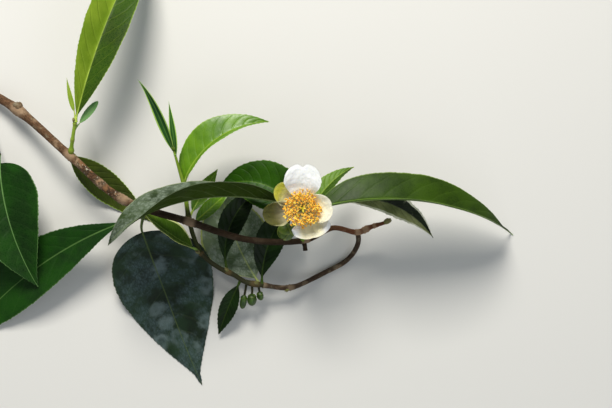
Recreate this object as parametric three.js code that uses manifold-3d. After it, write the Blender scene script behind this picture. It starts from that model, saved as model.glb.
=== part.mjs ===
// A flowering branch cut from a tea bush and laid on its back, in millimetres.
// x runs along the branch from its cut foot to its far twig, y lies across it and z is height.
// The open flower faces up. Every limb, leaf, petal, bud and fruit is a closed solid of its own,
// 0.3 mm clear of what carries it.
import * as THREE from "three";
import { mergeVertices } from "three/addons/utils/BufferGeometryUtils.js";
import Module from "manifold-3d";

const wasm = await Module();
wasm.setup();

// Driving dimensions
const SEAT = 0.3; // gap between a piece and the limb that carries it
const MIDDLE = [-30.55, 19.51, 0.09]; // centre of the footprint, in the layout that follows
const FOOT_RADIUS = 2.0; // the woody branch where it was cut
const FAR_RADIUS = 0.75; // and at its last bud
const TWIG_RADIUS = 1.1;
const SHOOT_RADIUS = 0.95;
const LIMB_SIDES = 8;
const BLADE_SECTIONS = 13;
const BLADE_START = 0.03; // shares of the midrib where a blade opens and where it is tipped
const BLADE_END = 0.985;
const LEAF_ACROSS = [-1, -0.5, 0, 0.5, 1]; // places across a blade, from edge to edge
const PETAL_ACROSS = [-1, -0.6, 0, 0.6, 1];
const PETAL_SECTIONS = 9;
const STALK_RADIUS = 0.75;
const STALK_TAPER = 0.3; // share of its radius that a stalk loses on the way to its blade
const RIB_DEPTH = 0.5; // how far the midrib stands out under the foot of a blade
const BLADE_SHARE = 0.01; // a blade's thickness as a share of its length
const BLADE_LEAST = 0.7; // and never thinner than this
const BLADE_WAVE = 0.03; // height of the waves along its edges, as a share of its half width
const BLADE_WAVES = 2.5; // and how many there are
const REST_HEIGHT = 0.5; // middle of a blade that lies pressed on the ground
const REST_SOFTNESS = 1.2; // height over which a drooping blade bends flat
const FLOWER_PLACE = [-1.4, -1.6, 39.5];
const FLOWER_TILT = 12; // degrees that the open flower nods towards -y
const PETAL_THICKNESS = 0.5;
const PETAL_ROOT = [1.5, -0.2]; // where a petal starts: out from the flower's axis, and up it
const PETAL_SHAPE = { fold: 0, full: 1.1, pointed: 0.42, wave: 0.05, waves: 1.5 };
const STAMEN_COUNT = 46;
const STAMEN_LENGTH = 10;
const STAMEN_SPREAD = 50; // degrees between the axis and the outermost stamens
const THREAD_RADIUS = 0.22;
const ANTHER_RADIUS = 0.62;
const BOSS_RADIUS = 1.1; // the disc that the stamens stand on
const ROUND_BUD_RADIUS = 3.7;

const DEGREE = Math.PI / 180;
const GOLDEN_TURN = 137.508 * DEGREE;

const COLOURS = {
  bark: 0x6b5546,
  green_stem: 0x6f8f2c,
  old_leaf: 0x6c7868,
  dark_leaf: 0x24401a,
  leaf: 0x3f6428,
  bright_leaf: 0x6f9a25,
  petal: 0xf4f1e4,
  stamen: 0xf5a833,
  bud: 0x56752a,
};

const degrees = (value) => value * DEGREE;
const towards = (heading, rise) =>
  new THREE.Vector3(
    Math.cos(degrees(rise)) * Math.cos(degrees(heading)),
    Math.cos(degrees(rise)) * Math.sin(degrees(heading)),
    Math.sin(degrees(rise)),
  );
const vector = ([x, y, z]) => new THREE.Vector3(x, y, z);

// A closed three.js geometry as a solid.
function solidOf(geometry) {
  const bare = new THREE.BufferGeometry();
  bare.setAttribute("position", geometry.getAttribute("position"));
  bare.setIndex(geometry.getIndex());
  const merged = mergeVertices(bare, 1e-4);
  return new wasm.Manifold(
    new wasm.Mesh({
      numProp: 3,
      vertProperties: new Float32Array(merged.getAttribute("position").array),
      triVerts: new Uint32Array(merged.getIndex().array),
    }),
  );
}

function geometryOf(solid) {
  const made = solid.getMesh();
  const geometry = new THREE.BufferGeometry();
  const positions = new Float32Array(made.numVert * 3);
  for (let i = 0; i < made.numVert; i++) {
    for (let k = 0; k < 3; k++) {
      positions[i * 3 + k] = made.vertProperties[i * made.numProp + k];
    }
  }
  geometry.setAttribute("position", new THREE.BufferAttribute(positions, 3));
  geometry.setIndex(new THREE.BufferAttribute(made.triVerts, 1));
  geometry.computeVertexNormals();
  return geometry;
}

const largestBody = (solid) =>
  solid.decompose().reduce((best, body) => (body.volume() > best.volume() ? body : best));

// Rings of one even count of points, closed at either end by a strip from one half to the other.
function skin(rings) {
  const count = rings[0].length;
  const points = rings.flat();
  const faces = [];
  for (let i = 0; i < rings.length - 1; i++) {
    for (let j = 0; j < count; j++) {
      const a = i * count + j;
      const b = i * count + ((j + 1) % count);
      faces.push(a, b, b + count, a, b + count, a + count);
    }
  }
  const last = (rings.length - 1) * count;
  for (let j = 0; j < count / 2 - 1; j++) {
    const k = count - 1 - j;
    faces.push(j, k, k - 1, j, k - 1, j + 1);
    faces.push(last + j, last + j + 1, last + k - 1, last + j, last + k - 1, last + k);
  }
  const geometry = new THREE.BufferGeometry();
  const positions = new Float32Array(points.flatMap((p) => [p.x, p.y, p.z]));
  geometry.setAttribute("position", new THREE.BufferAttribute(positions, 3));
  geometry.setIndex(faces);
  return geometry;
}

// A limb: a tapering tube on a smooth curve through its stations, swollen where leaves have sat.
class Limb {
  constructor(route, { from, to, rings, sides = LIMB_SIDES, swellings = [] }) {
    this.curve = new THREE.CatmullRomCurve3(route.map(vector), false, "centripetal");
    this.last = route.length - 1;
    Object.assign(this, { from, to, rings, sides, swellings });
  }

  place(station) {
    return this.curve.getPoint(station / this.last);
  }

  radius(share) {
    const taper = this.from + (this.to - this.from) * share;
    const swell = this.swellings.reduce((sum, { station, height, reach }) => {
      const away = (share * this.last - station) / reach;
      return sum + height * Math.exp(-away * away);
    }, 0);
    return taper + swell;
  }

  solid(grown = 0) {
    const rings = [];
    const frames = this.curve.computeFrenetFrames(this.rings, false);
    for (let i = 0; i <= this.rings; i++) {
      const share = this.curve.getUtoTmapping(i / this.rings);
      const centre = this.curve.getPoint(share);
      const radius = this.radius(share) + grown;
      const ring = [];
      for (let j = 0; j < this.sides; j++) {
        const angle = (j / this.sides) * 2 * Math.PI;
        ring.push(
          centre
            .clone()
            .addScaledVector(frames.normals[i], Math.cos(angle) * radius)
            .addScaledVector(frames.binormals[i], Math.sin(angle) * radius),
        );
      }
      rings.push(ring);
    }
    return solidOf(skin(rings));
  }
}

// A blade's pieces as it grows: the midrib turns by sweep and bends down by droop on its way out.
function midrib(spec) {
  const { root, heading, rise, sweep = 0, droop = 0, hook = 0, length } = spec;
  const { stalk = 0, stalkHeading = heading, stalkRise = rise } = spec;
  const steps = 60;
  const path = [];
  const direction = (share) =>
    towards(heading + sweep * share, rise - droop * share - hook * share ** 4);
  const point = root.clone().addScaledVector(towards(stalkHeading, stalkRise), stalk);
  for (let i = 0; i <= steps; i++) {
    const along = direction(i / steps);
    path.push({ point: point.clone(), along });
    point.addScaledVector(direction((i + 0.5) / steps), length / steps);
  }
  return (share) => path[Math.round(share * steps)];
}

// Share of the full half width at a place along the blade.
function outline(share, full, pointed) {
  const peak = full / (full + pointed);
  const top = peak ** full * (1 - peak) ** pointed;
  return (share ** full * (1 - share) ** pointed) / top;
}

const onGround = (height, least) =>
  least + 0.5 * (height - least + Math.hypot(height - least, REST_SOFTNESS));

// Directions across a blade and out of its face, for a rib that runs along and a roll about it.
function faceOf(along, turn) {
  const level = new THREE.Vector3(-along.y, along.x, 0).normalize();
  const above = new THREE.Vector3().crossVectors(along, level);
  return {
    side: level.clone().multiplyScalar(Math.cos(turn)).addScaledVector(above, Math.sin(turn)),
    up: above.clone().multiplyScalar(Math.cos(turn)).addScaledVector(level, -Math.sin(turn)),
  };
}

// Rings of a thin folded blade: its upper skin from one edge to the other, then its lower skin back.
function bladeRings(spec, rib) {
  const { length, width, roll = 0, twist = 0, fold = 20, curl = 0, cup = 0 } = spec;
  const { full = 0.85, pointed = 1.2, wave = BLADE_WAVE, waves = BLADE_WAVES, notch = 0 } = spec;
  const { across = LEAF_ACROSS, sections = BLADE_SECTIONS, ribDepth = 0 } = spec;
  const thickness = spec.thickness ?? Math.max(BLADE_LEAST, BLADE_SHARE * length);
  const rings = [];
  for (let i = 0; i < sections; i++) {
    const share = BLADE_START + ((BLADE_END - BLADE_START) * i) / (sections - 1);
    const { point, along } = rib(share);
    const { side, up } = faceOf(along, degrees(roll + twist * share ** 2));
    const half = (width / 2) * outline(share, full, pointed);
    const ring = [];
    for (const face of [1, -1]) {
      const order = face > 0 ? [...across].reverse() : across;
      for (const u of order) {
        const reach = Math.abs(u);
        const ripple = wave * reach * Math.sin(2 * Math.PI * waves * share + (u > 0 ? 0 : 2));
        const lift =
          half * (Math.sin(degrees(fold)) * reach + cup * u * u - curl * reach ** 3 + ripple);
        const place = point
          .clone()
          .addScaledVector(side, u * half * Math.cos(degrees(fold)))
          .addScaledVector(up, lift)
          .addScaledVector(along, notch * length * (reach ** 2 - 0.5) * share ** 3);
        if (spec.grounded !== false) {
          place.z = onGround(place.z, REST_HEIGHT);
        }
        const ridge = u === 0 && face < 0 ? ribDepth * (1 - share) : 0;
        place.addScaledVector(up, (face * thickness) / 2 - ridge);
        ring.push(place);
      }
    }
    rings.push(ring);
  }
  return rings;
}

// How far from the middle of its limb a stalk starts: clear of the limb's side, or of its end.
function clearance(limb, station, out, radius) {
  const share = station / limb.last;
  const cosine = limb.curve.getTangent(share).dot(out);
  const sine = Math.sqrt(1 - cosine * cosine);
  const beside = (limb.radius(share) + SEAT + radius * Math.abs(cosine)) / sine;
  if (cosine <= 0) {
    return beside;
  }
  const left = limb.place(limb.last).distanceTo(limb.place(station));
  return Math.min(beside, (left + SEAT + radius * sine) / cosine);
}

// Rings of a round stalk, from beside its limb to the foot of the blade.
function stalkRings(spec, rib, limb) {
  const { root, station, heading, rise, stalkHeading = heading, stalkRise = rise } = spec;
  const { roll = 0, stalkRadius = STALK_RADIUS } = spec;
  const out = towards(stalkHeading, stalkRise);
  const start = root.clone().addScaledVector(out, clearance(limb, station, out, stalkRadius));
  const foot = rib(0);
  const turning = out.clone().add(foot.along).normalize();
  const count = LEAF_ACROSS.length * 2;
  return [
    { point: start, along: out, radius: stalkRadius },
    { point: foot.point, along: turning, radius: stalkRadius * (1 - STALK_TAPER) },
  ].map(({ point, along, radius }) => {
    const { side, up } = faceOf(along, degrees(roll));
    return [...Array(count).keys()].map((j) => {
      const angle = ((j + 0.5) / count) * 2 * Math.PI;
      return point
        .clone()
        .addScaledVector(side, Math.cos(angle) * radius)
        .addScaledVector(up, Math.sin(angle) * radius);
    });
  });
}

// A leaf in one skin, stalk and blade, clear of the limb that carries it.
function leaf(spec, limb) {
  const grown = { ribDepth: RIB_DEPTH, ...spec, root: limb.place(spec.station) };
  const rib = midrib(grown);
  return solidOf(skin([...stalkRings(grown, rib, limb), ...bladeRings(grown, rib)]));
}

// A ball drawn out along a direction, for buds and fruit.
function drop(centre, radius, stretch, direction, detail = 2) {
  const ball = new THREE.IcosahedronGeometry(radius, detail);
  ball.scale(1, 1, stretch);
  const turned = new THREE.Quaternion().setFromUnitVectors(
    new THREE.Vector3(0, 0, 1),
    direction.clone().normalize(),
  );
  ball.applyQuaternion(turned);
  ball.translate(centre.x, centre.y, centre.z);
  return solidOf(ball.index ? ball : mergeVertices(ball));
}

// A straight stalk from one point to another.
function rod(from, to, radius) {
  const along = to.clone().sub(from);
  const turned = new THREE.Quaternion().setFromUnitVectors(
    new THREE.Vector3(0, 1, 0),
    along.clone().normalize(),
  );
  const geometry = new THREE.CylinderGeometry(radius, radius, along.length(), LIMB_SIDES);
  geometry.applyQuaternion(turned);
  geometry.translate(...from.clone().add(to).multiplyScalar(0.5).toArray());
  return solidOf(geometry);
}

// Limbs: the woody branch from its cut foot to its last bud
const branch = new Limb(
  [
    [-143.9, 52.0, 2.4],
    [-123.9, 40.4, 8.0],
    [-100.2, 20.4, 17.0],
    [-77.6, 2.1, 22.5],
    [-48.7, -7.6, 25.0],
    [-23.6, -15.1, 24.0],
    [0.0, -15.2, 19.0],
    [11.5, -10.4, 15.0],
    [22.3, -13.3, 10.5],
    [27.8, -10.3, 11.0],
    [39.1, -4.3, 16.0],
  ],
  {
    from: FOOT_RADIUS,
    to: FAR_RADIUS,
    rings: 46,
    swellings: [
      { station: 1.0, height: 0.55, reach: 0.12 },
      { station: 2.0, height: 0.3, reach: 0.1 },
      { station: 2.6, height: 0.25, reach: 0.1 },
      { station: 3.0, height: 0.5, reach: 0.12 },
      { station: 4.0, height: 0.35, reach: 0.1 },
      { station: 6.0, height: 0.25, reach: 0.12 },
      { station: 8.0, height: 0.35, reach: 0.2 },
      { station: 9.3, height: 0.3, reach: 0.15 },
    ],
  },
);

// The side twig turns back under the branch: low on the ground, rising, then upright behind it.
const twigLow = new Limb(
  [
    [22.3, -13.3, 10.5],
    [24.4, -17.4, 6.0],
    [18.5, -23.6, 1.8],
    [6.0, -30.8, 2.0],
    [-6.9, -36.0, 6.6],
    [-18.4, -34.8, 10.3],
  ],
  {
    from: TWIG_RADIUS,
    to: TWIG_RADIUS * 0.95,
    rings: 22,
    swellings: [
      { station: 4, height: 0.35, reach: 0.15 },
      { station: 5, height: 0.25, reach: 0.15 },
    ],
  },
);
const twigRise = new Limb(
  [
    [-18.9, -34.7, 10.5],
    [-25.7, -33.4, 11.5],
    [-30.8, -30.3, 12.5],
    [-36.7, -27.5, 13.0],
    [-41.8, -23.9, 13.5],
    [-45.0, -20.7, 14.0],
  ],
  {
    from: TWIG_RADIUS * 0.95,
    to: SHOOT_RADIUS,
    rings: 14,
    swellings: [
      { station: 0.5, height: 0.35, reach: 0.4 },
      { station: 2.4, height: 0.25, reach: 0.3 },
      { station: 5, height: 0.3, reach: 0.4 },
    ],
  },
);
const twigUpright = new Limb(
  [
    [-45.3, -20.3, 14.0],
    [-46.9, -16.6, 14.5],
    [-48.6, -11.5, 15.5],
    [-49.8, -5.9, 17.5],
    [-50.5, -0.4, 19.5],
    [-51.0, 5.0, 22.0],
    [-51.6, 8.8, 24.0],
  ],
  {
    from: SHOOT_RADIUS,
    to: SHOOT_RADIUS,
    rings: 14,
    swellings: [
      { station: 3.0, height: 0.35, reach: 0.35 },
      { station: 6.0, height: 0.2, reach: 0.3 },
    ],
  },
);
const shootTip = new Limb(
  [
    [-51.7, 9.3, 24.3],
    [-53.5, 16.2, 28.0],
    [-55.2, 22.6, 31.0],
  ],
  { from: SHOOT_RADIUS * 0.9, to: SHOOT_RADIUS * 0.75, rings: 8, sides: 6 },
);
const shootLeft = new Limb(
  [
    [-100.0, 20.6, 17.0],
    [-98.5, 27.0, 22.0],
    [-96.8, 34.6, 26.0],
  ],
  { from: SHOOT_RADIUS * 1.05, to: SHOOT_RADIUS * 0.95, rings: 8 },
);
const flowerSpur = new Limb(
  [
    [-1.3, -15.6, 19.5],
    [-1.9, -11.6, 23.0],
    [-1.4, -6.6, 26.5],
    [-1.4, -0.2, 29.3],
    [-1.4, 0.04, 31.77],
  ],
  { from: 1.15, to: 1.05, rings: 10, swellings: [{ station: 2.6, height: 0.25, reach: 0.4 }] },
);
const spurFoot = new Limb(
  [
    [-139.3, 48.0, 4.0],
    [-136.0, 35.0, 8.0],
    [-131.0, 20.8, 12.0],
  ],
  { from: SHOOT_RADIUS, to: SHOOT_RADIUS * 0.85, rings: 8, sides: 6 },
);
const LIMBS = { spurFoot, branch, twigLow, twigRise, twigUpright, shootTip, shootLeft, flowerSpur };

// What stands on the woody branch: a knob near its foot, a broken stub, and the bud at its end
const BUMPS = [
  { station: 0.98, offset: [0.6, 1.6, 0.4], radius: 1.5, stretch: 1.1, lean: [0.4, 1, 0.2] },
  { station: 6.1, offset: [0.4, -2.2, -0.6], radius: 1.0, stretch: 2.2, lean: [0.25, -1, -0.2] },
  { station: 10, offset: [1.0, 0.7, 0.6], radius: 1.0, stretch: 2.0, lean: [1, 0.65, 0.6] },
];

// Leaves: where each one grows, which way it heads, and its real size
const LEAVES = [
  {
    name: "leaf_mottled", on: "flowerSpur", station: 2.9, colour: "old_leaf",
    length: 84, width: 25, stalk: 7.2, stalkHeading: 177, stalkRise: 32, heading: 163, sweep: 58,
    rise: 22, droop: 40, hook: 34,
    roll: 100, twist: -76, fold: 28, full: 1.15, pointed: 1.0,
  },
  {
    name: "leaf_right", on: "flowerSpur", station: 2.7, colour: "leaf",
    length: 100, width: 25, stalk: 8.1, stalkHeading: 3, stalkRise: 21, heading: 14, sweep: -50,
    rise: 14, droop: 66, hook: 16,
    roll: -58, twist: 6, fold: 32, full: 1.0, pointed: 1.1,
  },
  {
    name: "leaf_behind_left", on: "flowerSpur", station: 1.8, colour: "leaf",
    length: 40, width: 21, stalk: 4, heading: 118, sweep: 88, rise: 0, droop: 24,
    roll: 10, fold: 14,
  },
  {
    name: "leaf_behind_right", on: "flowerSpur", station: 1.2, colour: "bright_leaf",
    length: 30, width: 6.5, stalk: 7, heading: 57, sweep: -22, rise: -5, droop: 4,
    roll: -40, fold: 24,
  },
  {
    name: "leaf_curled", on: "flowerSpur", station: 2.45, colour: "old_leaf",
    length: 50, width: 11, stalk: 13.6, stalkHeading: 19, stalkRise: -6, heading: 15, sweep: -70,
    rise: -12, droop: 4,
    roll: -8, fold: 28, full: 1.4, pointed: 1.4, stalkRadius: 0.65,
  },
  {
    name: "leaf_bright", on: "twigUpright", station: 4.75, colour: "bright_leaf",
    length: 47, width: 17.5, stalk: 6.2, stalkHeading: 74, heading: 69, sweep: -68, rise: 20, droop: 34,
    roll: -46, fold: 34,
  },
  {
    name: "leaf_tall", on: "shootLeft", station: 1.95, colour: "bright_leaf",
    length: 92, width: 21, stalk: 2.5, heading: 73, sweep: -10, rise: 14, droop: 58, hook: 18,
    roll: -4, fold: 34, full: 1.3, pointed: 1.1,
  },
  {
    name: "leaf_olive", on: "branch", station: 1.98, colour: "leaf",
    length: 44, width: 13, stalk: 4.8, heading: -44, sweep: 8, rise: -36, droop: -34,
    roll: 0, fold: 10,
  },
  {
    name: "leaf_broad", on: "branch", station: 3.35, colour: "dark_leaf",
    length: 75, width: 41, stalk: 9, stalkHeading: -104, heading: -73, sweep: 8,
    rise: -36, droop: -34, roll: 4, fold: 6, full: 0.75, pointed: 1.15,
  },
  {
    name: "leaf_corner", on: "branch", station: 3.12, colour: "dark_leaf",
    length: 98, width: 25, stalk: 5, stalkHeading: -100, heading: 206, sweep: 22, rise: -18, droop: -6,
    roll: 8, fold: 12, full: 1.9, pointed: 1.2,
  },
  {
    name: "leaf_hanging", on: "spurFoot", station: 1.9, colour: "dark_leaf",
    length: 56, width: 28, stalk: 4, heading: -80, sweep: 16, rise: 8, droop: 20,
    roll: 12, fold: 20, full: 0.55, pointed: 1.15,
  },
  {
    name: "leaf_shaded", on: "twigRise", station: 0.1, colour: "dark_leaf",
    length: 37, width: 13, stalk: 3, heading: 88, sweep: -44, rise: 14, droop: 4,
    roll: 0, fold: 20, full: 1.15,
  },
  {
    name: "leaf_grey", on: "twigRise", station: 0.2, colour: "old_leaf",
    length: 43, width: 25, stalk: 3.3, heading: 122, sweep: -24, rise: -24, droop: -28,
    roll: 0, fold: 8, full: 1.1,
  },
  {
    name: "leaf_narrow", on: "twigRise", station: 2.5, colour: "dark_leaf",
    length: 37, width: 11.5, stalk: 3.3, heading: 98, sweep: -64, rise: 14, droop: 12,
    roll: 0, fold: 22, full: 1.6,
  },
  {
    name: "leaf_edge", on: "twigUpright", station: 0.2, colour: "leaf",
    length: 26.5, width: 12, stalk: 3.5, heading: 152, sweep: -16, rise: 18, droop: 16,
    roll: 50, fold: 30,
  },
  {
    name: "leaf_yellow", on: "twigUpright", station: 2.4, colour: "bright_leaf",
    length: 21, width: 7, stalk: 3, heading: 40, sweep: 4, rise: 12, droop: 16,
    roll: -20, fold: 24,
  },
  {
    name: "leaf_pale", on: "twigUpright", station: 3.0, colour: "bright_leaf",
    length: 22, width: 7.5, stalk: 3.4, heading: 62, sweep: -4, rise: -24, droop: -16,
    roll: -10, fold: 24,
  },
  {
    name: "leaf_low", on: "twigRise", station: 1.4, colour: "dark_leaf",
    length: 25, width: 8, stalk: 3, heading: -116, sweep: 8, rise: -20, droop: 0,
    roll: 0, fold: 22,
  },
  {
    name: "tip_leaf_long", on: "shootTip", station: 1.95, colour: "bright_leaf",
    length: 31, width: 4.6, stalk: 1.8, heading: 114, sweep: -6, rise: 26, droop: 10,
    roll: 0, fold: 38, full: 0.55,
  },
  {
    name: "tip_leaf_short", on: "shootTip", station: 1.3, colour: "bright_leaf",
    length: 20, width: 3.0, stalk: 4.2, heading: 92, sweep: 8, rise: -6, droop: -10,
    roll: 0, fold: 30, full: 0.55,
  },
  {
    name: "left_leaf_slim", on: "shootLeft", station: 1.55, colour: "bright_leaf",
    length: 17, width: 2.4, stalk: 3.8, heading: 103, sweep: -10, rise: -4, droop: 0,
    roll: 0, fold: 30, full: 0.55,
  },
  {
    name: "left_leaf_small", on: "shootLeft", station: 1.55, colour: "bright_leaf",
    length: 12, width: 3.4, stalk: 3.8, heading: 50, rise: 0, droop: 0,
    roll: 0, fold: 18, full: 0.7, pointed: 0.6,
  },
];

// Flower: petals in the flower's own frame, with its axis up z and the stamens at its middle
const PETALS = [
  { name: "petal_top", heading: 91, length: 18, width: 16, rise: 38, droop: 36, cup: 0.2, notch: 0.2, lift: 0.8 },
  { name: "petal_upper_left", heading: 140, length: 16, width: 11, rise: 24, droop: 14, cup: 0.4, lift: -0.9 },
  { name: "petal_lower_left", heading: 191, length: 16, width: 10, rise: 34, droop: 38, cup: 0.25, lift: 0.5 },
  { name: "petal_lower", heading: 292, length: 13.5, width: 17, rise: 28, droop: -16, cup: 0.3, notch: 0.1 },
  { name: "petal_right", heading: 10, length: 14, width: 12, rise: 46, droop: 22, cup: 0.35, lift: 0.6 },
];

function petal(spec) {
  const turn = degrees(spec.heading);
  const { lift = 0 } = spec;
  const [out, up] = PETAL_ROOT;
  const root = new THREE.Vector3(out * Math.cos(turn), out * Math.sin(turn), lift + up);
  const grown = {
    ...PETAL_SHAPE, ...spec, root, sections: PETAL_SECTIONS, across: PETAL_ACROSS,
    thickness: PETAL_THICKNESS, grounded: false,
  };
  return solidOf(skin(bladeRings(grown, midrib(grown))));
}

// The boss of stamens: threads that lean outwards by a sunflower rule, each with a two-lobed anther.
function stamens() {
  const boss = new THREE.CylinderGeometry(BOSS_RADIUS * 0.8, BOSS_RADIUS, BOSS_RADIUS * 1.5, 10);
  let whole = solidOf(boss.rotateX(Math.PI / 2));
  for (let i = 0; i < STAMEN_COUNT; i++) {
    const share = Math.sqrt((i + 0.5) / STAMEN_COUNT);
    const lean = degrees(STAMEN_SPREAD) * share;
    const turn = i * GOLDEN_TURN;
    const reach = STAMEN_LENGTH * (1 - 0.1 * share + 0.05 * Math.sin(i * 2.4));
    const direction = new THREE.Vector3(
      Math.sin(lean) * Math.cos(turn),
      Math.sin(lean) * Math.sin(turn),
      Math.cos(lean),
    );
    const thread = new THREE.CylinderGeometry(THREAD_RADIUS * 0.65, THREAD_RADIUS, reach, 3);
    thread.translate(0, reach / 2, 0);
    const anther = new THREE.OctahedronGeometry(ANTHER_RADIUS);
    anther.scale(1, 1.25, 0.8).translate(0, reach, 0);
    const turned = new THREE.Quaternion().setFromUnitVectors(new THREE.Vector3(0, 1, 0), direction);
    for (const piece of [thread, anther]) {
      whole = whole.add(solidOf(piece.applyQuaternion(turned)));
    }
  }
  return largestBody(whole);
}

// The green cup under the petals, on the flower's stalk.
function calyx() {
  const profile = [
    [0, -7.6], [0.95, -7.6], [0.85, -4.6], [1.3, -3.2], [2.7, -2.3], [3.3, -1.2],
    [3.0, -1.0], [2.0, -1.4], [0, -1.5],
  ];
  const turned = new THREE.LatheGeometry(
    profile.map(([radius, height]) => new THREE.Vector2(radius, height)), 12,
  );
  return solidOf(turned.rotateX(Math.PI / 2));
}

const material = (colour) =>
  new THREE.MeshStandardMaterial({ color: COLOURS[colour], roughness: 0.6, metalness: 0 });

function meshOf(name, solid, colour) {
  const mesh = new THREE.Mesh(geometryOf(solid), material(colour));
  mesh.name = name;
  return mesh;
}

// Assembly
const plant = new THREE.Group();

const branchSolid = BUMPS.reduce((whole, { station, offset, radius, stretch, lean }) => {
  const centre = branch.place(station).add(vector(offset));
  return whole.add(drop(centre, radius, stretch, vector(lean), 1));
}, branch.solid());
const branchSpace = branch.solid(SEAT);

plant.add(meshOf("branch_main", branchSolid, "bark"));
plant.add(meshOf("twig_low", twigLow.solid().subtract(branchSpace), "bark"));
plant.add(meshOf("twig_rise", twigRise.solid().subtract(twigLow.solid(SEAT)), "green_stem"));
plant.add(meshOf("twig_upright", twigUpright.solid().subtract(twigRise.solid(SEAT)), "green_stem"));
plant.add(meshOf("shoot_tip", shootTip.solid().subtract(twigUpright.solid(SEAT)), "green_stem"));
plant.add(meshOf("shoot_left", largestBody(shootLeft.solid().subtract(branchSpace)), "green_stem"));
plant.add(meshOf("spur_foot", largestBody(spurFoot.solid().subtract(branchSpace)), "green_stem"));
plant.add(meshOf("spur_flower", largestBody(flowerSpur.solid().subtract(branchSpace)), "green_stem"));

for (const spec of LEAVES) {
  plant.add(meshOf(spec.name, leaf(spec, LIMBS[spec.on]), spec.colour));
}

const flower = new THREE.Group();
flower.position.copy(vector(FLOWER_PLACE));
flower.rotation.x = degrees(FLOWER_TILT);
for (const spec of PETALS) {
  flower.add(meshOf(spec.name, petal(spec), "petal"));
}
flower.add(meshOf("stamens", stamens(), "stamen"));
flower.add(meshOf("calyx", calyx(), "bud"));
plant.add(flower);

// The round flower bud beside the flower, and the young fruit that hang from the side twig
const HANGING = [
  {
    name: "bud_round", on: flowerSpur, station: 2.2, centre: [-8.4, -11.6, 31.5],
    radius: ROUND_BUD_RADIUS, stretch: 0.95, stalkRadius: 0.7, detail: 2,
  },
  {
    name: "fruit_round", on: twigRise, station: 0.62, centre: [-23.2, -41.2, 9.6],
    radius: 2.2, stretch: 1.15, stalkRadius: 0.5, detail: 1,
  },
  {
    name: "fruit_long", on: twigRise, station: 0.95, centre: [-27.0, -42.2, 7.6],
    radius: 1.6, stretch: 2.0, stalkRadius: 0.5, detail: 1,
  },
  {
    name: "fruit_small", on: twigRise, station: 0.3, centre: [-19.6, -39.6, 8.4],
    radius: 1.6, stretch: 1.2, stalkRadius: 0.5, detail: 1,
  },
];
for (const { name, on, station, centre, radius, stretch, stalkRadius, detail } of HANGING) {
  const from = on.place(station);
  const middle = vector(centre);
  const ball = drop(middle, radius, stretch, middle.clone().sub(from), detail);
  const whole = ball.add(rod(from, middle, stalkRadius)).subtract(on.solid(SEAT));
  plant.add(meshOf(name, largestBody(whole), "bud"));
}

plant.position.set(-MIDDLE[0], -MIDDLE[1], -MIDDLE[2]);

export default plant;
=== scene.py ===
import math

import bpy
import numpy as np
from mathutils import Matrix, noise


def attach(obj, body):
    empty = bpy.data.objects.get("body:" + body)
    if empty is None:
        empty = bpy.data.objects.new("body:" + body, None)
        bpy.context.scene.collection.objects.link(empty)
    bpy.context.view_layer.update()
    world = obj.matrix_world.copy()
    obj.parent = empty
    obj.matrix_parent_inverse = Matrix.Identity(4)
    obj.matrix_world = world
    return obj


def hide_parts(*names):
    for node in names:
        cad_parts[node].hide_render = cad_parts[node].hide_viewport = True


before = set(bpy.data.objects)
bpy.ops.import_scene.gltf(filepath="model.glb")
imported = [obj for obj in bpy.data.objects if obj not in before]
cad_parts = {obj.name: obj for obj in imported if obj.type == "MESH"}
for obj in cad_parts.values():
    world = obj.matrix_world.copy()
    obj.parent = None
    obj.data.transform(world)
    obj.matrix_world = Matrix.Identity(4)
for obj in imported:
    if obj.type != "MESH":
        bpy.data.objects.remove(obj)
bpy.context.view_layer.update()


# Floor, light and camera
# The cut branch lies on a matt pale floor. A broad lamp beyond the top of the picture
# lights it from above, a weaker one fills from the foot, and the camera looks straight down.
MM = 0.001
MIDDLE = np.array([-30.55, 19.51, 0.09])  # mm, centre of the footprint in the branch's layout
CAMERA_HEIGHT = 739  # mm above the ground of that layout
CAMERA_LENS = 100
FLOOR_WIDTH = 3.0  # m
FLOOR_COLOUR = (0.66, 0.65, 0.62, 1)
SKY_COLOUR = (0.86, 0.93, 1.0, 1)
SKY_STRENGTH = 0.3


def in_frame(point):
    """A point of the layout, in mm, as metres in the frame."""
    return (np.array(point, float) - MIDDLE) * MM


def shown(name, data):
    """An object of the scene that holds a mesh, a lamp or a camera."""
    held = bpy.data.objects.new(name, data)
    bpy.context.scene.collection.objects.link(held)
    return held


def lamp(name, place, size, power, colour):
    """A square lamp that faces the origin: its place and size in metres, its power in watts."""
    light = bpy.data.lights.new(name, "AREA")
    light.size = size
    light.energy = power
    light.color = colour
    held = shown(name, light)
    held.location = place
    held.rotation_euler = (-held.location).to_track_quat("-Z", "Y").to_euler()


camera = shown("camera", bpy.data.cameras.new("camera"))
camera.data.lens = CAMERA_LENS
camera.location = in_frame((0, 0, CAMERA_HEIGHT))
bpy.context.scene.camera = camera
bpy.context.scene.view_settings.view_transform = "Standard"

lamp("key_lamp", (-0.12, 0.55, 0.62), 0.3, 8.6, (1.0, 0.97, 0.9))
lamp("fill_lamp", (0.35, -0.6, 0.7), 0.8, 2.4, (0.92, 0.96, 1.0))

world = bpy.data.worlds.new("sky")
world.use_nodes = True
sky = world.node_tree.nodes["Background"]
sky.inputs["Color"].default_value = SKY_COLOUR
sky.inputs["Strength"].default_value = SKY_STRENGTH
bpy.context.scene.world = world

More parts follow.
